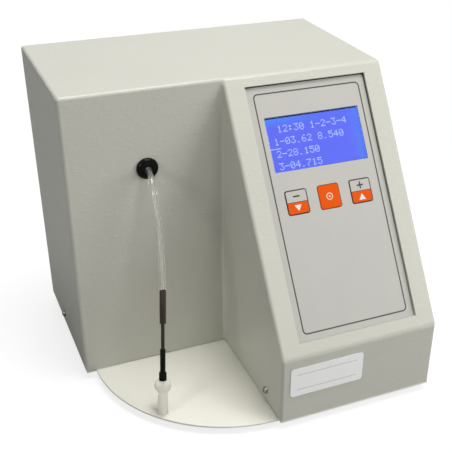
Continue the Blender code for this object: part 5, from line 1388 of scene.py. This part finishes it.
@dataclass
class IntakeHose:
    """The clear hose from the grommet and the rigid probe that hangs on it."""

    hose_radius: float = 0.0021
    hose_bore: float = 0.00135
    length: float = 0.0928
    sleeve_bore: float = 0.0016
    probe_steps: int = 40
    path_points: int = 140
    route_mm: tuple[Point, ...] = (
        (-62.0, -9.65, 170.0), (-61.98, -14.07, 170.02), (-62.64, -18.41, 169.55),
        (-63.18, -22.52, 168.06), (-63.62, -26.21, 165.69), (-63.96, -29.31, 162.56),
        (-64.1, -31.75, 158.89), (-64.17, -33.73, 154.94), (-64.22, -35.53, 150.91),
        (-64.23, -37.3, 146.85), (-64.31, -38.99, 142.77), (-64.47, -40.61, 138.66),
        (-64.69, -42.17, 134.53), (-64.94, -43.73, 130.41), (-65.22, -45.27, 126.27),
        (-65.54, -46.77, 122.13), (-65.87, -48.17, 117.95), (-66.27, -49.58, 113.78),
        (-66.77, -51.1, 109.66), (-67.34, -52.69, 105.58), (-67.94, -54.3, 101.5),
        (-68.53, -55.9, 97.42))

    def build(self, finishes: Finishes) -> None:
        """Builds the probe's pieces and then the hose.

        Args:
            finishes: the shared materials.
        """
        probe = self.build_probe()
        route = np.array(self.route_mm) / 1000
        path = finer(route, self.path_points)
        clear = ClearPlastic("clear_hose", (0.96, 0.96, 0.93), 0.05, 0.96, 1.34, 1.0).make()
        hose = finished(swept("clear_intake_hose", path, self.hose_radius, self.hose_bore), clear,
                        "sample_hose", "intake")

    def on_probe(self, name: str, node: str, profile: np.ndarray, finish: Material, slot: str) -> Piece:
        """One piece of the probe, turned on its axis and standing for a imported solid."""
        piece = turned(name, profile, PROBE_TIP, PROBE_AXIS, self.probe_steps)
        return finished(piece, finish, node, "intake")

    def sleeve(self, outer: float, bore: float, low: float, high: float, edge: float = 0.0003) -> np.ndarray:
        """A short tube's outline with rounded outer edges, going down outside and up the bore."""
        bevel = edge * 0.3
        return np.array(((bore, high), (outer - edge, high), (outer - bevel, high - bevel),
                         (outer, high - edge), (outer, low + edge), (outer - bevel, low + bevel),
                         (outer - edge, low), (bore, low)))

    def nozzle_profile(self) -> np.ndarray:
        """The nozzle's outline: a bulged flange, a slim barrel with a small rim, and its stepped bore.

        The flange's radius follows the sine to the power of 0.8, and its height the cosine, cut off flat.

        Returns:
            Rows of (radius, height).
        """
        barrel, top, cut = 0.00365, 0.0248, 0.02475
        swell = np.linspace(math.pi * 0.16, math.pi, 16)
        radii = barrel + 0.00235 * np.sin(swell) ** 0.8
        flange = np.stack((radii, np.minimum(0.02125 + 0.00355 * np.cos(swell) / 0.88, cut)), axis=1)
        return np.concatenate((
            ((self.sleeve_bore, top), (radii[0] - 0.0009, top)), flange,
            ((barrel, 0.0165), (0.00358, 0.0014), (0.00385, 0.0012), (0.00385, 0.0002), (0.0036, 0.0),
             (0.0026, 0.0), (0.0024, 0.0004), (0.0024, 0.012), (self.sleeve_bore, 0.012))))

    def build_probe(self) -> list[Piece]:
        """Builds the upper sleeve, steel tube, lower sleeve, collar and nozzle.

        Returns:
            The pieces, the nozzle last.
        """
        brown = Moulding("brown_sleeve", (0.045, 0.032, 0.022), 0.30, 0.002, 0.00004, bleed=0.1,
                         shine=0.25).make()
        black = Moulding("black_sleeve", (0.004, 0.004, 0.003), 0.36, shine=0.12).make()
        milky = Moulding("milky_nozzle", paint(255, 251, 243), 0.50, 0.0008, 0.00003, 0.80, 0.0, 0.4).make()
        steel = Metal("dark_drawn_steel", (0.065, 0.06, 0.05), 0.22, (12, 12, 1)).make()
        bore = self.sleeve_bore
        rows = (
            ("brown_hose_sleeve", "hose_sleeve", self.sleeve(0.0023, bore, 0.0678, 0.0923),
             brown, "brown_sleeve"),
            ("drawn_intake_tube", "intake_tube", self.sleeve(0.0013, 0.0007, 0.0211, 0.0758, 0.0001),
             steel, "steel"),
            ("black_lower_sleeve", "lower_sleeve", self.sleeve(0.00195, bore, 0.0317, 0.0487),
             black, "black_rubber"),
            ("black_tube_collar", "tube_collar", self.sleeve(0.00275, bore, 0.0251, 0.0314, 0.0005),
             black, "black_plastic"),
            ("milky_nozzle", "nozzle", self.nozzle_profile(), milky, "white_plastic"))
        return [self.on_probe(*row) for row in rows]


# The rear panel and what is behind the case's walls

@dataclass
class RearFittings:
    """The rear panel with its mains inlet, rocker switch and serial socket."""

    blade_pitch: float = 0.007
    blade_drop: float = 0.004
    blade_size: Pair = (0.0022, 0.0042)
    mark_reach: float = 0.0042
    mark_size: float = 0.0030
    mark_width: float = 0.0006
    shell_wall: float = 0.0005
    shell_depth: float = 0.0050
    shell_edge: float = 0.00015
    floor_taper: float = 0.00002
    floor_sink: float = 0.0001
    contact_pitch: float = 0.00277
    contact_rows: float = 0.00284
    contact_radius: float = 0.0005
    contact_recess: float = 0.0008
    contact_steps: int = 12
    insert_halves: Pair = (0.0079, 0.0066)
    insert_drop: float = 0.0037
    insert_lifts: Pair = (0.0002, 0.0006)
    insert_smooth_angle: float = 20.0

    def middle(self, node: str) -> Pair:
        """The middle of a node's box, across and up."""
        low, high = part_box(node)
        return (low.x + high.x) / 2, (low.z + high.z) / 2

    def build(self, finishes: Finishes) -> None:
        """Dresses the rear panel's pieces.

        Args:
            finishes: the shared materials.
        """
        carried_over("rear_panel", finishes.paint, "case_paint", 0.0001)
        carried_over("switch_frame", finishes.black_plastic, "black_plastic", 0.0002)
        x, z = self.middle("power_inlet")
        blades = tuple((x + side * self.blade_pitch, z + (0.5 - abs(side)) * self.blade_drop)
                       for side in (-1, 0, 1))
        inlet = MarkedPlastic("inlet_moulding", blades, self.blade_size, (), 0.0, (0.55, 0.53, 0.47),
                              True).make()
        carried_over("power_inlet", inlet, "black_plastic", 0.0002)
        x, z = self.middle("power_rocker")
        bar, ring = (x, z + self.mark_reach), (x, z - self.mark_reach)
        rocker = MarkedPlastic("rocker_moulding", (bar,), (self.mark_width, self.mark_size), (ring,),
                               self.mark_size / 2, paint(215, 215, 210), False).make()
        carried_over("power_rocker", rocker, "black_plastic", 0.0002, "rocker")
        self.build_serial(finishes)

    def build_serial(self, finishes: Finishes) -> None:
        """Hollows the serial socket's shell and lays its insert and its nine contacts in it.

        Args:
            finishes: the shared materials.
        """
        port = carried_over("serial_port", finishes.steel, "steel")
        work = bmesh.new()
        work.from_mesh(port.data)
        back = max(corner.co.y for corner in work.verts)
        end = [face for face in work.faces
               if face.normal.y > 0.9 and face.calc_center_median().y > back - 10 * TOUCH]
        bmesh.ops.inset_region(work, faces=end, thickness=self.shell_wall)
        bmesh.ops.inset_region(work, faces=end, thickness=self.floor_taper, depth=-self.shell_depth)
        work.to_mesh(port.data)
        work.free()
        rounded_edges(port, self.shell_edge)
        x, z = self.middle("serial_port")
        floor = back - self.shell_depth - self.floor_sink
        brass = Metal("gilded_brass", (0.80, 0.58, 0.25), 0.25, (1, 12, 1)).make()
        points, faces = self.contacts(x, z, floor, back - self.contact_recess)
        finished(new_piece("serial_contacts", points, faces), brass)
        (wide, narrow), drop = self.insert_halves, self.insert_drop
        plate = np.array(((-wide, drop), (wide, drop), (narrow, -drop), (-narrow, -drop))) + (x, z)
        corners = np.concatenate([np.insert(plate, 1, floor + lift, axis=1) for lift in self.insert_lifts])
        sides = [[k, (k + 1) % 4, 4 + (k + 1) % 4, 4 + k] for k in range(4)]
        insert = new_piece("serial_insert", corners, [[3, 2, 1, 0], [4, 5, 6, 7], *sides],
                           self.insert_smooth_angle)
        finished(insert, finishes.black_plastic)

    def contacts(self, x: float, z: float, floor: float, tip: float) -> tuple[np.ndarray, list[list[int]]]:
        """Nine round contacts in rows of five and four, each a profile turned round its own axis.

        Args:
            x: the socket's middle, across.
            z: the socket's middle, up.
            floor: where the contacts start, along Y.
            tip: where they end, along Y.

        Returns:
            The points and faces.
        """
        radius, steps = self.contact_radius, self.contact_steps
        profile = np.array(((radius * 0.3, tip), (radius * 0.8, tip - radius * 0.3), (radius, tip - radius),
                            (radius, floor)))
        pin = np.insert(profile[:, 0, None, None] * circle(steps), 1, 0.0, axis=2)
        pin[..., 1] = profile[:, 1, None]
        rows = ((5, z + self.contact_rows / 2), (4, z - self.contact_rows / 2))
        middles = np.array([(x + (k - (count - 1) / 2) * self.contact_pitch, 0, height)
                            for count, height in rows for k in range(count)])
        size = pin[..., 0].size
        one = grid_faces(len(profile), steps, False).tolist()
        one += [list(range(steps))[::-1], list(range(size - steps, size))]
        faces = [[corner + size * k for corner in face] for k in range(len(middles)) for face in one]
        return (middles[:, None, None] + pin).reshape(-1, 3), faces


@dataclass
class InnerWorks:
    """The measuring cell, the pump, the boards and the leads inside the case."""

    board_face: float = 0.0181
    core_pitch: float = 0.00127

    def build(self, finishes: Finishes) -> None:
        """Dresses every inner piece.

        Args:
            finishes: the shared materials.
        """
        steel, white = (finishes.steel, "steel"), (finishes.white_plastic, "white_plastic")
        silicone, lead = (finishes.silicone, "silicone"), (finishes.lead, "wire_grey")
        aluminium, clear = (finishes.aluminium, "aluminium"), (finishes.window, "clear_plastic")
        rows = (("measuring_cell", aluminium, 0.0004), ("cell_sensor_left", steel, 0.0003),
                ("cell_sensor_right", steel, 0.0003), ("cell_heater", white, 0.0003),
                ("cell_bracket", steel, 0.0002), ("pump_bracket", steel, 0.0002),
                ("pump_housing", white, 0.0003), ("pump_cover", clear, 0.0002),
                ("pump_screw_upper", steel, 0.0001), ("pump_screw_lower", steel, 0.0001),
                ("pump_motor", steel, 0.0003), ("cell_inlet_hose", silicone, 0.0),
                ("pump_tube", silicone, 0.0), ("mains_lead", lead, 0.0), ("switch_lead", lead, 0.0),
                ("board_lead", lead, 0.0), ("motor_lead", lead, 0.0))
        for node, look, edge in rows:
            carried_over(node, *look, edge)
        for node in ("main_board", "supply_board"):
            carried_over(node, CircuitBoard(node + "_finish", self.board_face).make(), "board_green")
        ribbon = Striped("ribbon_finish", self.core_pitch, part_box("display_ribbon")[0].x).make()
        carried_over("display_ribbon", ribbon, "wire_grey")
        carried_over("pump_rotor", finishes.black_plastic, "black_plastic", 0.0002, "rotor")
        for number in (1, 2, 3):
            carried_over(f"pump_roller_{number}", *white, 0.0002, f"roller_{number}")


# The studio

@dataclass(frozen=True)
class Softbox:
    """A square soft lamp: its compass place round the object, height angle, side in metres and watts.

    A lamp that isn't mirrored only lights the faces that look at it, and leaves no glare.
    """

    name: str
    azimuth: float
    elevation: float
    side: float
    power: float
    mirrored: bool = True

    def hang(self, aim: np.ndarray, distance: float) -> None:
        """Hangs the lamp, 0 degrees being in front of the object.

        Args:
            aim: the point that it faces.
            distance: how far from that point it hangs.
        """
        turn, rise = math.radians(self.azimuth), math.radians(self.elevation)
        away = np.array((math.sin(turn) * math.cos(rise), -math.cos(turn) * math.cos(rise), math.sin(rise)))
        data = bpy.data.lights.new(self.name, "AREA")
        data.size = self.side
        data.energy = self.power
        lamp = linked(self.name, data)
        lamp.location = aim + distance * away
        lamp.rotation_mode = "QUATERNION"
        lamp.rotation_quaternion = Vector(-distance * away).to_track_quat("-Z", "Y")
        lamp.visible_glossy = self.mirrored


@dataclass
class Studio:
    """A pale floor, soft lights and the camera at the photograph's angle."""

    eye: Point = (-0.20835, -0.54275, 0.41379)
    yaw: float = 24.030
    pitch: float = 30.717
    roll: float = 1.000
    focal: float = 845.89
    frame_size: Pair = (452.0, 453.0)
    middle: Pair = (263.8, 268.85)
    world_light: float = 0.125
    world_mirrored: float = 0.60
    floor_reach: float = 6.0
    floor_paper: Colour = (0.36, 0.36, 0.355)
    floor_seen: Colour = (0.272, 0.272, 0.272)
    floor_glow: float = 0.78
    floor_fade: Pair = (0.30, 0.60)
    lamp_aim: Point = (0.0, 0.0, 0.1)
    lamp_distance: float = 1.5
    lamps: tuple[Softbox, ...] = (
        Softbox("overhead_softbox", 42, 78, 0.7, 15.9), Softbox("rear_overhead_softbox", 150, 78, 0.7, 3.5),
        Softbox("right_softbox", 50, 18, 0.9, 11.1, False), Softbox("left_softbox", -65, 25, 0.3, 3.9),
        Softbox("front_softbox", 8, 5, 0.25, 0.75), Softbox("back_softbox", 170, 22, 0.9, 7.5, False))

    def camera(self) -> None:
        """Sets the camera up from its fitted place, turn, focal length in pixels and picture middle."""
        yaw, pitch, roll = (math.radians(angle) for angle in (self.yaw, self.pitch, self.roll))
        ahead = Vector((math.sin(yaw) * math.cos(pitch), math.cos(yaw) * math.cos(pitch), -math.sin(pitch)))
        right = Vector((math.cos(yaw), -math.sin(yaw), 0))
        up = right.cross(ahead)
        turned_right = math.cos(roll) * right + math.sin(roll) * up
        turned_up = -math.sin(roll) * right + math.cos(roll) * up
        width, height = self.frame_size
        data = bpy.data.cameras.new("photo_camera")
        camera = linked("photo_camera", data)
        data.sensor_width = 36.0
        data.lens = self.focal / height * data.sensor_width
        data.shift_x = (width / 2 - self.middle[0]) / height
        data.shift_y = (self.middle[1] - height / 2) / height
        data.clip_start = 0.01
        turn = Matrix((turned_right, turned_up, -ahead)).transposed()
        camera.matrix_world = Matrix.Translation(Vector(self.eye)) @ turn.to_4x4()
        bpy.context.scene.camera = camera

    def end(self, sheet: NodeSheet, lit: Socket, seen: Socket, output: str) -> None:
        """Ends a tree that looks one way to the eye and lights the object another way.

        Args:
            sheet: the tree's nodes.
            lit: the shader that lights the object.
            seen: the shader that the eye sees, straight or through clear plastic.
            output: the kind of its output node.
        """
        path = sheet.add("LightPath")
        eye = sheet.any_of(path["Is Camera Ray"], path["Is Transmission Ray"])
        sheet.add(output, {"Surface": sheet.add("MixShader", {0: eye, 1: lit, 2: seen})[0]})

    def world(self) -> None:
        """Makes the surroundings white to the eye, dimmer in mirrored rays and dim as a light."""
        sheet = NodeSheet(bpy.data.worlds.new("studio"))
        glossy = sheet.add("LightPath")["Is Glossy Ray"]
        dimmed = sheet.between(glossy, self.world_light, self.world_mirrored)
        white = sheet.add("Background", {"Color": (1, 1, 1), "Strength": 1.0})[0]
        self.end(sheet, sheet.add("Background", {"Strength": dimmed})[0], white, "OutputWorld")
        bpy.context.scene.world = sheet.owner

    def floor(self) -> None:
        """Lays the floor: white to the eye but for the object's soft shadow, and pale as a reflector."""
        corners = self.floor_reach * np.array(((-1, -1, 0), (1, -1, 0), (1, 1, 0), (-1, 1, 0)))
        floor = new_piece("studio_floor", corners, [[0, 1, 2, 3]])
        sheet = NodeSheet(bpy.data.materials.new("floor_paper"))
        paper, near = (sheet.add("BsdfDiffuse", {"Color": colour})[0]
                       for colour in (self.floor_paper, self.floor_seen))
        glow = sheet.add("Emission", {"Strength": self.floor_glow})[0]
        away = sheet.add("VectorMath", {0: sheet.place()}, operation="LENGTH")["Value"]
        seen = sheet.add("MixShader", {0: sheet.between(away, 0.0, 1.0, *self.floor_fade),
                                       1: sheet.add("AddShader", {0: near, 1: glow})[0],
                                       2: sheet.add("Emission")[0]})[0]
        self.end(sheet, paper, seen, "OutputMaterial")
        floor.data.materials.append(sheet.owner)

    def build(self) -> None:
        """Sets up the view transform, camera, surroundings, floor and lamps."""
        bpy.context.scene.view_settings.view_transform = "Standard"
        self.camera()
        self.world()
        self.floor()
        for lamp in self.lamps:
            lamp.hang(np.array(self.lamp_aim), self.lamp_distance)


def main() -> None:
    """Builds the whole scene in order."""
    logging.basicConfig(level=logging.INFO, format="%(message)s")
    Studio().build()
    finishes = Finishes()
    for assembly in (IntakeHose(), CaseCover(), BaseTray(), CaseScrews(), FrontLabel(), ControlPanel(),
                     Grommet(), RearFittings(), InnerWorks()):
        assembly.build(finishes)
    bpy.context.view_layer.update()


if __name__ == "__main__":
    main()
